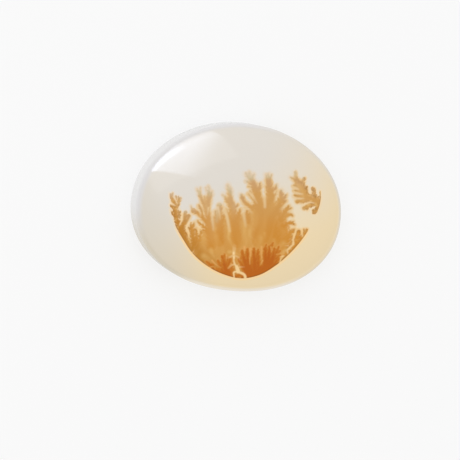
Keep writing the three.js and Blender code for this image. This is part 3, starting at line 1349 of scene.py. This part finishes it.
@dataclass
class NodeBench:
    """Adds nodes to one node tree and links them."""

    tree: bpy.types.NodeTree

    def add(self, kind: str, settings: dict | None = None, sockets: dict | None = None) -> bpy.types.Node:
        """Adds a node.

        Args:
            kind: The node's type, without the leading ShaderNode.
            settings: The node's own settings by name.
            sockets: What goes into its inputs, by name or number.

        Returns:
            The node.
        """
        node = self.tree.nodes.new("ShaderNode" + kind)
        for name, value in (settings or {}).items():
            setattr(node, name, value)
        for key, value in (sockets or {}).items():
            self.put(node.inputs[key], value)
        return node

    def put(self, socket: Plug, value: Input) -> None:
        """Puts a value into an input, or links another node's output to it.

        Args:
            socket: The input.
            value: The value or the output.
        """
        if isinstance(value, Plug):
            self.tree.links.new(value, socket)
        else:
            socket.default_value = value

    def attribute(self, name: str) -> Plug:
        """Reads the numbers that the skin's points keep under a name."""
        return self.add("Attribute", {"attribute_name": name}).outputs["Fac"]

    def group(self, tree: bpy.types.NodeTree, sockets: dict[str, Input]) -> Plug:
        """Adds a node group with what goes into its inputs by name, and gives its one output."""
        return self.add("Group", {"node_tree": tree}, sockets).outputs[0]

    def noise(self, place: Input, scale: Input, detail: float) -> Plug:
        """Soft noise about 0.5 at a place, of a scale in cells for each millimetre and so much detail."""
        sockets = {"Vector": place, "Scale": scale, "Detail": detail}
        return self.add("TexNoise", None, sockets).outputs["Fac"]

    def math(self, operation: str, *values: Input) -> Plug:
        """Works something out of one to three values with a Math node of the operation named."""
        return self.add("Math", {"operation": operation}, dict(enumerate(values))).outputs[0]

    def product(self, first: Input, *others: Input) -> Plug:
        """Multiplies values.

        Args:
            first: The first value.
            *others: What it is multiplied by, in order.

        Returns:
            Their product.
        """
        for other in others:
            first = self.math("MULTIPLY", first, other)
        return first

    def dot(self, place: Input, direction: Input) -> Plug:
        """How far a place is along a direction: their dot product."""
        node = self.add("VectorMath", {"operation": "DOT_PRODUCT"}, {0: place, 1: direction})
        return node.outputs["Value"]

    def mix(self, share: Input, under: Input, over: Input) -> Plug:
        """Mixes two colours.

        Args:
            share: Share of the second colour, from 0 to 1.
            under: The colour where it is 0.
            over: The colour where it is 1.

        Returns:
            The mixed colour.
        """
        node = self.add("Mix", {"data_type": "RGBA"})
        self.put(node.inputs["Factor"], share)
        self.put(node.inputs[6], under)
        self.put(node.inputs[7], over)
        return node.outputs[2]

    def ramp(
        self, value: Input, low: Input, high: Input, start: float = 0.0, end: float = 1.0
    ) -> Plug:
        """Goes smoothly from start to end as a value goes from low to high, and is held outside them.

        Args:
            value: The value.
            low: Value up to which it is at the start. It may be the higher of the two.
            high: Value from which it is at the end.
            start: What it starts from.
            end: What it ends at.

        Returns:
            The outcome.
        """
        names = ["Value", "From Min", "From Max", "To Min", "To Max"]
        node = self.add("MapRange", {"interpolation_type": "SMOOTHSTEP"})
        for name, item in zip(names, [value, low, high, start, end]):
            self.put(node.inputs[name], item)
        return node.outputs[0]


def new_group(
    name: str, inputs: dict[str, tuple[Socket, Input]], output: str, kind: Socket
) -> tuple[NodeBench, bpy.types.NodeOutputs, Plug]:
    """Starts a shader node group with one output.

    Args:
        name: The group's name.
        inputs: Kind and first value of each input, by name.
        output: Name of the output.
        kind: Kind of the output.

    Returns:
        A bench for the group's nodes, what it is given by name, and the socket for what it puts out.
    """
    tree = bpy.data.node_groups.new(name, "ShaderNodeTree")
    for label, (input_kind, value) in inputs.items():
        socket = tree.interface.new_socket(label, in_out="INPUT", socket_type=input_kind.value)
        socket.default_value = value
    tree.interface.new_socket(output, in_out="OUTPUT", socket_type=kind.value)
    given = tree.nodes.new("NodeGroupInput").outputs
    return NodeBench(tree), given, tree.nodes.new("NodeGroupOutput").inputs[output]


def soft_edge_group() -> bpy.types.NodeTree:
    """Group that turns an edge measure into a mask.

    The mask is a smooth step from one blur outside the edge to one blur inside it. The edge is moved by
    three times the unevenness times what noise is above a half.

    Returns:
        The group.
    """
    inputs = {
        "Place": (Socket.VECTOR, (0, 0, 0)),
        "Edge": (Socket.NUMBER, 0.0),
        "Blur": (Socket.NUMBER, 0.05),
        "Uneven": (Socket.NUMBER, 0.03),
        "Grain": (Socket.NUMBER, 5.0),
    }
    bench, given, out = new_group("soft_edge", inputs, "Mask", Socket.NUMBER)
    noise = bench.noise(given["Place"], given["Grain"], 2.0)
    shift = bench.product(bench.math("SUBTRACT", noise, 0.5), given["Uneven"])
    edge = bench.math("MULTIPLY_ADD", shift, 3.0, given["Edge"])
    bench.put(out, bench.ramp(edge, bench.product(given["Blur"], -1.0), given["Blur"]))
    return bench.tree


def stain_group() -> bpy.types.NodeTree:
    """Group that lays a stain over a colour.

    The stain has its thin colour where the mask is low, and its full colour where it is high. It covers by
    the mask times one less the veil.

    Returns:
        The group.
    """
    inputs = {
        "Under": (Socket.COLOUR, (1, 1, 1, 1)),
        "Mask": (Socket.NUMBER, 0.0),
        "Veil": (Socket.NUMBER, 0.0),
        "Thin": (Socket.COLOUR, (1, 1, 1, 1)),
        "Full": (Socket.COLOUR, (1, 1, 1, 1)),
    }
    bench, given, out = new_group("stain", inputs, "Colour", Socket.COLOUR)
    tone = bench.mix(bench.ramp(given["Mask"], 0.35, 1.0), given["Thin"], given["Full"])
    cover = bench.product(given["Mask"], bench.math("SUBTRACT", 1.0, given["Veil"]))
    bench.put(out, bench.mix(cover, given["Under"], tone))
    return bench.tree


def milky_group() -> bpy.types.NodeTree:
    """Group for the colour of the milky body, cool to warm.

    Its warmth is the greater of two sums, each of a start and the place's dot product with a direction,
    and soft clouds of noise shift it.

    Returns:
        The group.
    """
    inputs = {
        "Place": (Socket.VECTOR, (0, 0, 0)),
        "Along": (Socket.VECTOR, (1, -1, 0)),
        "Start": (Socket.NUMBER, 0.0),
        "Aside": (Socket.VECTOR, (1, 0, 0)),
        "Aside Start": (Socket.NUMBER, 0.0),
        "Cool": (Socket.COLOUR, (1, 1, 1, 1)),
        "Warm": (Socket.COLOUR, (1, 1, 1, 1)),
        "Clouds": (Socket.NUMBER, 0.1),
    }
    bench, given, out = new_group("milky_body", inputs, "Colour", Socket.COLOUR)
    cloud = bench.math("SUBTRACT", bench.noise(given["Place"], 0.16, 3.0), 0.5)
    ways = []
    for direction, start in (("Along", "Start"), ("Aside", "Aside Start")):
        ways.append(bench.math("ADD", bench.dot(given["Place"], given[direction]), given[start]))
    warmth = bench.math("MULTIPLY_ADD", cloud, given["Clouds"], bench.math("MAXIMUM", *ways))
    bench.put(out, bench.mix(bench.ramp(warmth, 0.0, 1.0), given["Cool"], given["Warm"]))
    return bench.tree


@dataclass
class StonePaint(NodeBench):
    """Paints the milky stone with its painted light and shade, and the growth in it, with the finish's
    colours as its tones.

    The place is in millimetres. The layer is a mask with a clean edge. Both on_front and ghost are 1 on the
    dome. On the back on_front is 0, and ghost is what is left there of the fine colours. The shore line is
    a dark line just inside the layer's edge.
    """

    tone: dict[str, Colour]
    soft_edge: bpy.types.NodeTree = field(init=False)
    stain: bpy.types.NodeTree = field(init=False)
    place: Plug = field(init=False)
    growth: dict[Measure, Plug] = field(init=False)
    leftwards: Plug = field(init=False)
    upwards: Plug = field(init=False)
    layer: Plug = field(init=False)
    on_front: Plug = field(init=False)
    ghost: Plug = field(init=False)
    shore_line: Plug = field(init=False)

    def __post_init__(self) -> None:
        """Adds the shared groups and nodes."""
        self.soft_edge, self.stain = soft_edge_group(), stain_group()
        coords = self.add("TexCoord").outputs["Object"]
        scale = self.add("VectorMath", {"operation": "SCALE"}, {0: coords, "Scale": 1 / MM})
        self.place = scale.outputs[0]
        self.growth = {which: self.attribute(which.value) for which in Measure}
        self.leftwards = self.dot(self.place, LEFTWARDS)
        self.upwards = self.dot(self.place, UPWARDS)
        self.layer = self.ramp(self.growth[Measure.LAYER], -0.04, 0.04)
        # The veil is stronger on the back than anywhere on the dome, so it tells them apart
        self.on_front, self.ghost = (
            self.ramp(self.growth[Measure.VEIL], 0.56, 0.76, 1.0, left) for left in (0.0, 0.2)
        )
        line = self.ramp(self.growth[Measure.LAYER], 0.06, 0.18, 1.0, 0.0)
        self.shore_line = self.product(line, self.ramp(self.leftwards, -5.0, 0.0, 0.3, 0.8))

    def mask(
        self, which: Measure, gap: Measure, blur: Input, uneven: float, grain: float
    ) -> Plug:
        """A mask from an edge measure, without its gaps and cut off at the layer's own edge.

        Args:
            which: The edge measure.
            gap: The measure of its gaps.
            blur: Half the width of its soft edge.
            uneven: How uneven the edge is.
            grain: Cells of that unevenness for each millimetre.

        Returns:
            The mask.
        """
        clear = self.math("SUBTRACT", 1.0, self.growth[gap])
        edge = self.group(self.soft_edge, {
            "Place": self.place, "Edge": self.growth[which], "Blur": blur, "Uneven": uneven, "Grain": grain,
        })
        return self.product(edge, self.product(self.layer, clear))

    def lay(self, under: Input, mask: Input, veil: Input, thin: Input, full: Input) -> Plug:
        """Lays a stain over what is under it: thin to full colour by its mask, and hidden by a veil."""
        sockets = {"Under": under, "Mask": mask, "Veil": veil, "Thin": thin, "Full": full}
        return self.group(self.stain, sockets)

    def tint(self, colour: Input, name: str, *shares: Input) -> Plug:
        """Tints a colour with one of the tones, by the product of some shares."""
        return self.mix(self.product(*shares), colour, self.tone[name])

    def _milky_stone(self) -> Plug:
        """Colour of the milky stone on the dome and down the wall, with painted light and shade.

        Painted shade darkens the dome at the lower left, and a line along the crease. Painted light
        brightens the wall below the crease up to its foot, painted shade darkens the wall at the right and
        low down, and painted light brightens the lower rim.

        Returns:
            The colour.
        """
        tone, leftwards, upwards = self.tone, self.leftwards, self.upwards
        past_crease = self.attribute(PAST_CREASE)
        stone = self.group(milky_group(), {
            "Place": self.place, "Along": (0.051, -0.094, 0), "Start": 0.45, "Aside": (0.074, -0.048, 0),
            "Aside Start": 0.23, "Cool": tone["cool"], "Warm": tone["warm"], "Clouds": 0.2,
        })
        stone = self.tint(stone, "shade", self.ramp(leftwards, 5.0, 9.0, 0.0, 0.6))
        # Painted shade: a darker line at the crease; below it, painted light brightens the wall towards its
        # foot
        wall = self.mix(self.ramp(past_crease, 0.0, 0.9), tone["crease"], tone["wall"])
        wall = self.tint(wall, "edge", self.ramp(past_crease, 2.0, 2.6))
        # Painted shade on the wall at the right, and low down on it, where it is lighter and warmer at the
        # lower right
        wall = self.mix(self.ramp(leftwards, -9.0, -4.0), tone["rim_right"], wall)
        wall_low = self.mix(self.ramp(leftwards, -2.0, 3.0), tone["wall_low_right"], tone["wall_low"])
        wall = self.mix(self.ramp(upwards, -4.0, 0.5), wall_low, wall)
        stone = self.mix(self.ramp(past_crease, -0.25, 0.08), stone, wall)
        # Painted light along the lower rim
        return self.tint(
            stone, "lower_rim_light",
            self.ramp(past_crease, -0.3, 0.05),
            self.ramp(upwards, -6.0, -7.2),
            self.ramp(leftwards, -4.0, 1.0),
        )

    def _glow(self, stone: Input) -> Plug:
        """Adds the warm glow of the stone close beside the ochre, which reaches further where it is deep.

        Args:
            stone: Colour of the milky stone.

        Returns:
            The colour with the glow.
        """
        growth, depth = self.growth, self.growth[Measure.DEPTH]
        low_down = self.ramp(growth[Measure.RISE], 0.52, 0.4)
        reach = self.math("MULTIPLY_ADD", low_down, 0.2, self.ramp(depth, 0.0, 0.7, 0.15, 0.3))
        near = self.product(
            self.ramp(growth[Measure.OCHRE], self.product(reach, -1.0), 0.0),
            self.layer,
            self.ramp(growth[Measure.VEIL], 0.05, 0.4, 0.85, 0.3),
        )
        glow = self.mix(self.ramp(depth, 0.05, 0.6), self.tone["glow_shallow"], self.tone["glow_deep"])
        return self.mix(near, stone, self.tint(glow, "glow_within", low_down))

    def _broad_ochre(self) -> Plug:
        """Colour of the ochre in its broad parts.

        It goes from the root's tone to the top's, is pinker on the shoulders and paler under the veil, and
        has tones of its own at the sides of the fronds, along the shore at the left and at the right.

        Returns:
            The colour.
        """
        growth, rise = self.growth, self.growth[Measure.RISE]
        ochre = self.mix(self.ramp(rise, 0.3, 0.78), self.tone["ochre_root"], self.tone["ochre_top"])
        ochre = self.tint(ochre, "shoulder", growth[Measure.SHOULDER], 0.9)
        ochre = self.tint(ochre, "ochre_pale", self.ramp(growth[Measure.VEIL], 0.1, 0.4))
        ochre = self.tint(
            ochre, "ochre_light",
            self.ramp(growth[Measure.STEM], -0.5, 0.9, 0.55, 0.0),
            self.ramp(rise, 0.15, 0.6, 0.5, 1.0),
        )
        ochre = self.tint(
            ochre, "ochre_shore",
            self.ramp(growth[Measure.LAYER], 0.1, 1.8, 1.0, 0.0),
            self.ramp(self.leftwards, 0.0, 5.0),
        )
        return self.tint(
            ochre, "ochre_right",
            self.ramp(self.leftwards, 0.5, -2.5, 0.0, 0.45),
            self.ramp(rise, 0.6, 0.45),
        )

    def _grained_ochre(self, ochre: Input) -> Plug:
        """Adds the ochre's fine detail.

        Dark nodules and light specks lie near its edges, a mottle under the veil, a darker knob at each tip
        and a darker line along its edge. They are sharpest where the layer is shallow.

        Args:
            ochre: Colour of the ochre in its broad parts.

        Returns:
            The colour with the detail.
        """
        growth = self.growth
        depth, rise, inside = growth[Measure.DEPTH], growth[Measure.RISE], growth[Measure.OCHRE]
        speckle = self.noise(self.place, 2.8, 2.0)
        sharp = self.product(
            self.ramp(depth, 0.2, 0.6, 1.0, 0.1),
            self.ramp(inside, 0.12, 0.4, 1.0, 0.0),
        )
        ochre = self.tint(
            ochre, "nodule", sharp,
            self.ramp(speckle, 0.48, 0.72, 0.0, 0.8),
            self.ramp(rise, 0.4, 0.6, 0.25, 1.0),
        )
        ochre = self.tint(ochre, "streak", sharp, self.ramp(speckle, 0.5, 0.3, 0.0, 0.6))
        ochre = self.tint(
            ochre, "khaki",
            self.ramp(speckle, 0.44, 0.66, 0.0, 0.5),
            self.ramp(growth[Measure.VEIL], 0.1, 0.35),
        )
        ochre = self.tint(
            ochre, "nodule", growth[Measure.KNOB],
            self.ramp(depth, 0.25, 0.75, 0.5, 0.15),
            self.ramp(rise, 0.4, 0.6, 0.3, 1.0),
        )
        edge = self.product(sharp, self.ramp(inside, 0.02, 0.2, 0.35, 0.0))
        return self.tint(ochre, "ochre_edge", self.math("MAXIMUM", edge, self.shore_line))

    def _lay_ochre(self, colour: Input) -> Plug:
        """Lays the ochre over the stone, and then its pale streaks, barbs and fan.

        Args:
            colour: Colour of the stone.

        Returns:
            The colour with the ochre.
        """
        growth = self.growth
        full = self._grained_ochre(self._broad_ochre())
        mask = self.mask(Measure.OCHRE, Measure.GAP, growth[Measure.BLUR], 0.045, 4.5)
        colour = self.lay(colour, mask, growth[Measure.VEIL], self.tone["ochre_thin"], full)
        mask = self.product(mask, self.ghost)
        colour = self.tint(colour, "streak", growth[Measure.STREAK], mask)
        colour = self.tint(
            colour, "barb", growth[Measure.BARB],
            self.ramp(growth[Measure.DEPTH], 0.1, 0.9, 0.85, 0.5),
            self.ramp(growth[Measure.OCHRE], 0.1, 0.55, 1.0, 0.12),
            mask,
        )
        return self.tint(colour, "streak", self.ramp(growth[Measure.TONE], -0.2, 0.8, 0.0, 0.17), mask)

    def _lay_bushes(self, colour: Input) -> Plug:
        """Lays the brown bushes over the ochre, with a flame colour in their gaps and close beside them.

        Args:
            colour: Colour of the stone with the ochre.

        Returns:
            The colour with the bushes.
        """
        growth, inside = self.growth, self.growth[Measure.BROWN]
        flame = self.math("MAXIMUM", growth[Measure.BUSH_GAP], self.ramp(inside, -0.2, 0.0, 0.0, 0.3))
        colour = self.tint(colour, "flame", flame, self.ghost, self.layer)
        teeth = self.math("MULTIPLY_ADD", growth[Measure.BROWN_BARB], -0.22, 1.0)
        mask = self.product(self.mask(Measure.BROWN, Measure.BUSH_GAP, 0.06, 0.05, 5.0), teeth)
        brown = self.mix(self.ramp(inside, 0.0, 0.3), self.tone["brown_thin"], self.tone["brown"])
        brown = self.tint(brown, "brown_edge", self.shore_line, 0.75)
        veil = self.math("MULTIPLY_ADD", self.on_front, -0.87, 0.9)
        return self.lay(colour, mask, veil, self.tone["brown_thin"], brown)

    def _lay_vein(self, colour: Input) -> Plug:
        """Lays the bright vein over the growth, and the bright rim just outside the layer's edge.

        Args:
            colour: Colour of the stone with all of the growth.

        Returns:
            The finished colour.
        """
        growth = self.growth
        colour = self.tint(colour, "vein", growth[Measure.VEIN], self.layer, self.on_front)
        return self.tint(
            colour, "rim",
            self.ramp(growth[Measure.LAYER], -0.22, -0.12),
            self.ramp(growth[Measure.LAYER], -0.02, 0.04, 1.0, 0.0),
            self.ramp(growth[Measure.OCHRE], -0.25, 0.0),
            self.ramp(self.upwards, -3.0, -1.0, 1.0, 0.35),
            self.on_front,
        )

    def colour(self) -> Plug:
        """Paints the stone from the inside out: milky stone with its painted light and shade, glow, ochre,
        bushes, vein and rim.

        Returns:
            The finished colour.
        """
        stone = self._glow(self._milky_stone())
        return self._lay_vein(self._lay_bushes(self._lay_ochre(stone)))


@dataclass(frozen=True)
class ChalcedonyFinish:
    """Polished milky chalcedony with the growth's colours in it. Colours are as they are seen."""

    # The milky stone, its painted shade at the lower left, and the painted light and shade on its wall and
    # lower rim
    cool: Colour = display(227, 221, 212)
    warm: Colour = display(244, 223, 183)
    shade: Colour = display(219, 211, 196)
    # Painted shade along the crease, and painted light down the wall, lightest at its foot
    crease: Colour = display(222, 220, 220)
    wall: Colour = display(234, 233, 232)
    edge: Colour = display(240, 240, 240)
    # Painted shade on the wall at the right and low down
    rim_right: Colour = display(223, 214, 198)
    wall_low: Colour = display(218, 208, 188)
    wall_low_right: Colour = display(232, 216, 186)
    # Painted light along the lower rim
    lower_rim_light: Colour = display(244, 232, 212)
    # The stone's glow beside the ochre
    glow_shallow: Colour = display(248, 219, 174)
    glow_deep: Colour = display(234, 199, 144)
    glow_within: Colour = display(240, 188, 108)
    # The ochre, broadly and in detail
    ochre_root: Colour = display(211, 143, 58)
    ochre_top: Colour = display(210, 156, 86)
    ochre_shore: Colour = display(194, 131, 50)
    ochre_right: Colour = display(214, 140, 42)
    ochre_light: Colour = display(222, 173, 100)
    ochre_pale: Colour = display(202, 177, 122)
    khaki: Colour = display(188, 150, 88)
    shoulder: Colour = display(204, 160, 113)
    ochre_edge: Colour = display(168, 112, 50)
    nodule: Colour = display(166, 120, 66)
    ochre_thin: Colour = display(224, 184, 125)
    streak: Colour = display(236, 194, 118)
    barb: Colour = display(246, 206, 150)
    # The brown bushes, and the bright vein and rim
    flame: Colour = display(234, 172, 98)
    brown: Colour = display(194, 103, 16)
    brown_thin: Colour = display(205, 126, 44)
    brown_edge: Colour = display(152, 92, 26)
    vein: Colour = display(252, 217, 158)
    rim: Colour = display(255, 221, 166)
    # The polish: what it adds to a colour, the share of the light that it lets through, and its smoothness
    gloss: float = 0.012
    light: float = 0.99
    roughness: float = 0.05
    smudging: float = 0.03
    refraction: float = 1.54

    def under_gloss(self, seen: Colour) -> Colour:
        """Colour of the stone under its polish: the seen one less the gloss, over the light let through."""
        return (*(max(0.0, (value - self.gloss) / self.light) for value in seen[:3]), 1.0)

    def build(self) -> bpy.types.Material:
        """Builds the material.

        Returns:
            The material.
        """
        material = bpy.data.materials.new("polished_chalcedony")
        material.use_nodes = True
        colours = {name: value for name, value in vars(self).items() if isinstance(value, tuple)}
        tone = {name: self.under_gloss(value) for name, value in colours.items()}
        paint = StonePaint(material.node_tree, tone)
        shader = material.node_tree.nodes["Principled BSDF"]
        paint.put(shader.inputs["Base Color"], paint.colour())
        smudge = paint.noise(paint.place, 0.9, 4.0)
        roughness = paint.ramp(smudge, 0.35, 0.75, self.roughness, self.roughness + self.smudging)
        paint.put(shader.inputs["Roughness"], roughness)
        shader.inputs["IOR"].default_value = self.refraction
        return material


@dataclass
class Cabochon:
    """The stone, dressed."""

    cut: StoneCut
    finish: ChalcedonyFinish = ChalcedonyFinish()

    def build(self) -> bpy.types.Object:
        """Builds the skin, keeps the growth's measures on it and puts the finish on.

        Returns:
            The piece.
        """
        skin, part = StoneSkin(self.cut).build("polished_stone")
        Growth(GrowthLayer()).keep_on(skin, part)
        skin.data.materials.append(self.finish.build())
        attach(skin, "root")
        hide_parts(STONE_NODE)
        return skin


@dataclass(frozen=True)
class Softbox:
    """A flat rectangular light that faces the stone.

    Angles are in degrees, as the stone sees it, and the distance is in metres.
    """

    name: str
    azimuth: float
    elevation: float
    width: float
    height: float
    radiance: float
    colour: tuple[float, float, float] = (1.0, 1.0, 1.0)
    roll: float = 0.0
    reflection_only: bool = False
    distance: float = 0.5

    def build(self) -> bpy.types.Object:
        """Builds the light.

        Its sides are twice the distance times the tangent of half their angle, and its power is the
        radiance times pi times its area.

        Returns:
            The light.
        """
        azimuth, elevation = math.radians(self.azimuth), math.radians(self.elevation)
        level = math.cos(elevation)
        towards = Vector((level * math.cos(azimuth), level * math.sin(azimuth), math.sin(elevation)))
        data = bpy.data.lights.new(self.name, "AREA")
        data.shape = "RECTANGLE"
        data.size, data.size_y = (
            2 * self.distance * math.tan(math.radians(angle) / 2) for angle in (self.width, self.height)
        )
        data.energy = self.radiance * math.pi * data.size * data.size_y
        data.color = self.colour
        light = bpy.data.objects.new(self.name, data)
        across = Vector((0, 0, 1)).cross(towards).normalized()
        turn = Matrix((across, towards.cross(across), towards)).transposed().to_4x4()
        turn = turn @ Matrix.Rotation(math.radians(self.roll), 4, "Z")
        light.matrix_world = Matrix.Translation(towards * self.distance) @ turn
        light.visible_camera = False
        light.visible_diffuse = not self.reflection_only
        bpy.context.scene.collection.objects.link(light)
        return light


@dataclass(frozen=True)
class Window(Softbox):
    """A softbox that is brightest low down, cut off on a slant at the left, and faded out to the right.

    Places on it go from 0 to 1, across to the left and up, as the stone sees it. The first of two numbers
    is where a fade starts, and the second where it ends. A lean is how far a fade moves on the whole way
    up, and the corner's on the whole way across.
    """

    left_side: float = 1.181
    left_lean: float = 0.645
    left_soft: float = 0.015
    right_fade: Point = (0.1, -0.38)
    right_lean: float = -0.667
    bottom_fade: Point = (-0.05, 0.3)
    upper_fade: Point = (0.533, 1.024)
    upper_left: float = 0.45
    lower_gain: float = 0.25
    lower_fade: Point = (0.31, 0.667)
    bright_gain: float = 3.0
    bright_fade: Point = (0.283, 0.48)
    bright_side: Point = (0.61, 0.34)
    bright_bottom: Point = (0.08, 0.5)
    bright_corner: Point = (-0.46, -0.2)
    corner_lean: float = -0.75

    def build(self) -> bpy.types.Object:
        """Builds the light, with nodes that set how bright each place on it is.

        Returns:
            The light.
        """
        light = super().build()
        light.data.use_nodes = True
        bench = NodeBench(light.data.node_tree)
        emission = light.data.node_tree.nodes["Emission"]
        place = bench.add("NewGeometry").outputs["Parametric"]
        across, up, _ = bench.add("SeparateXYZ", None, {0: place}).outputs

        left = bench.math("MULTIPLY_ADD", up, self.left_lean, across)
        right = bench.math("MULTIPLY_ADD", up, self.right_lean, across)
        left_start, left_end = self.left_side - self.left_soft, self.left_side + self.left_soft
        cover = bench.product(
            bench.ramp(left, left_start, left_end, 1.0, 0.0),
            bench.ramp(right, *self.right_fade, 1.0, 0.0),
            bench.ramp(up, *self.bottom_fade),
        )

        corner = bench.ramp(bench.math("MULTIPLY_ADD", across, self.corner_lean, up), *self.bright_corner)
        bright = bench.product(
            bench.ramp(up, *self.bright_fade, self.bright_gain, 0.0),
            bench.ramp(across, *self.bright_side, 1.0, 0.0),
            bench.math("MINIMUM", bench.ramp(up, *self.bright_bottom), corner),
        )
        lower = bench.math("ADD", bench.ramp(up, *self.lower_fade, self.lower_gain, 0.0), bright)
        evenly = bench.ramp(up, *self.upper_fade, 1.0, self.upper_left)
        lit = bench.product(cover, bench.math("ADD", lower, evenly))
        bench.put(emission.inputs["Strength"], lit)
        return light


@dataclass
class Studio:
    """Pale floor, soft light all round, softboxes, and the camera at the photograph's viewing angle.

    The floor's size is in metres and its drop below the stone in millimetres. The floor and the sky have
    strengths of their own as the polish mirrors them.
    """

    layer: GrowthLayer
    floor_size: float = 2.0
    floor_drop: float = 0.02
    floor_colour: Colour = display(150, 150, 150)
    floor_roughness: float = 0.9
    floor_glow: float = 0.65
    mirrored_glow: float = 0.51
    sky_strength: float = 0.895
    mirrored_sky: float = 0.3
    softboxes: tuple[Softbox, ...] = (
        Softbox("side_light", 125, 40, 60, 50, 0.57),
        Window("window", 122.2, 41.2, 56, 56, 3.7, (0.66, 0.77, 1.0), roll=2.0, reflection_only=True),
    )
    lens: float = 110.0
    sensor: float = 36.0

    @staticmethod
    def unlike_in_polish(bench: NodeBench, strength: float, mirrored: float) -> Plug:
        """A strength of light that is another one where the light is seen mirrored in the polish.

        Args:
            bench: Bench of the light's own nodes.
            strength: The strength as such.
            mirrored: The strength as the polish mirrors it.

        Returns:
            The output to use as the strength.
        """
        in_polish = bench.add("LightPath").outputs["Is Glossy Ray"]
        sockets = {"Value": in_polish, "To Min": strength, "To Max": mirrored}
        return bench.add("MapRange", None, sockets).outputs[0]

    def floor(self) -> bpy.types.Object:
        """Lays a flat square of floor under the stone. It glows evenly, so that shadows on it stay faint.

        Returns:
            The floor.
        """
        half = self.floor_size / 2
        drop = -self.floor_drop * MM
        mesh = bpy.data.meshes.new("pale_floor")
        square = [(-half, -half, drop), (half, -half, drop), (half, half, drop), (-half, half, drop)]
        mesh.from_pydata(square, [], [(0, 1, 2, 3)])
        floor = bpy.data.objects.new("pale_floor", mesh)
        bpy.context.scene.collection.objects.link(floor)
        material = bpy.data.materials.new("pale_floor")
        material.use_nodes = True
        shader = material.node_tree.nodes["Principled BSDF"]
        shader.inputs["Base Color"].default_value = self.floor_colour
        shader.inputs["Emission Color"].default_value = display(255, 255, 255)
        bench = NodeBench(material.node_tree)
        glow = self.unlike_in_polish(bench, self.floor_glow, self.mirrored_glow)
        bench.put(shader.inputs["Emission Strength"], glow)
        shader.inputs["Roughness"].default_value = self.floor_roughness
        shader.inputs["Specular IOR Level"].default_value = 0.0
        mesh.materials.append(material)
        return floor

    def sky(self) -> None:
        """Sets even white light all round, which the polish mirrors only faintly, as a dim room."""
        world = bpy.data.worlds.new("soft_white")
        world.use_nodes = True
        bench = NodeBench(world.node_tree)
        background = world.node_tree.nodes["Background"]
        background.inputs["Color"].default_value = (1.0, 1.0, 1.0, 1.0)
        strength = self.unlike_in_polish(bench, self.sky_strength, self.mirrored_sky)
        bench.put(background.inputs["Strength"], strength)
        bpy.context.scene.world = world

    def camera(self) -> bpy.types.Object:
        """Puts the camera at the eye that looks straight at the growth's layer.

        Returns:
            The camera.
        """
        across, up, facing = self.layer.axes()
        shift_across, shift_up = self.layer.eye_shift
        data = bpy.data.cameras.new("photo_view")
        data.lens = self.lens
        data.sensor_width = self.sensor
        data.clip_start = MM
        aim = Vector((0, 0, self.layer.height)) + across * shift_across + up * shift_up
        turn = Matrix((across, up, facing)).transposed().to_4x4()
        camera = bpy.data.objects.new("photo_view", data)
        camera.matrix_world = Matrix.Translation((aim + facing * self.layer.eye_distance) * MM) @ turn
        bpy.context.scene.collection.objects.link(camera)
        bpy.context.scene.camera = camera
        return camera

    def build(self) -> None:
        """Builds the floor, the light and the camera."""
        self.floor()
        self.sky()
        for softbox in self.softboxes:
            softbox.build()
        self.camera()
        bpy.context.scene.view_settings.view_transform = "Standard"


def main() -> None:
    """Builds the stone and the studio, and logs how many points and faces the stone has."""
    logging.basicConfig(level=logging.INFO, format="%(message)s")
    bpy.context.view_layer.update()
    stone = Cabochon(StoneCut.from_frame(STONE_NODE)).build()
    LOG.info("%s: %d points, %d faces", stone.name, len(stone.data.vertices), len(stone.data.polygons))
    Studio(GrowthLayer()).build()
    LOG.info("studio: floor, light and camera")


if __name__ == "__main__":
    main()
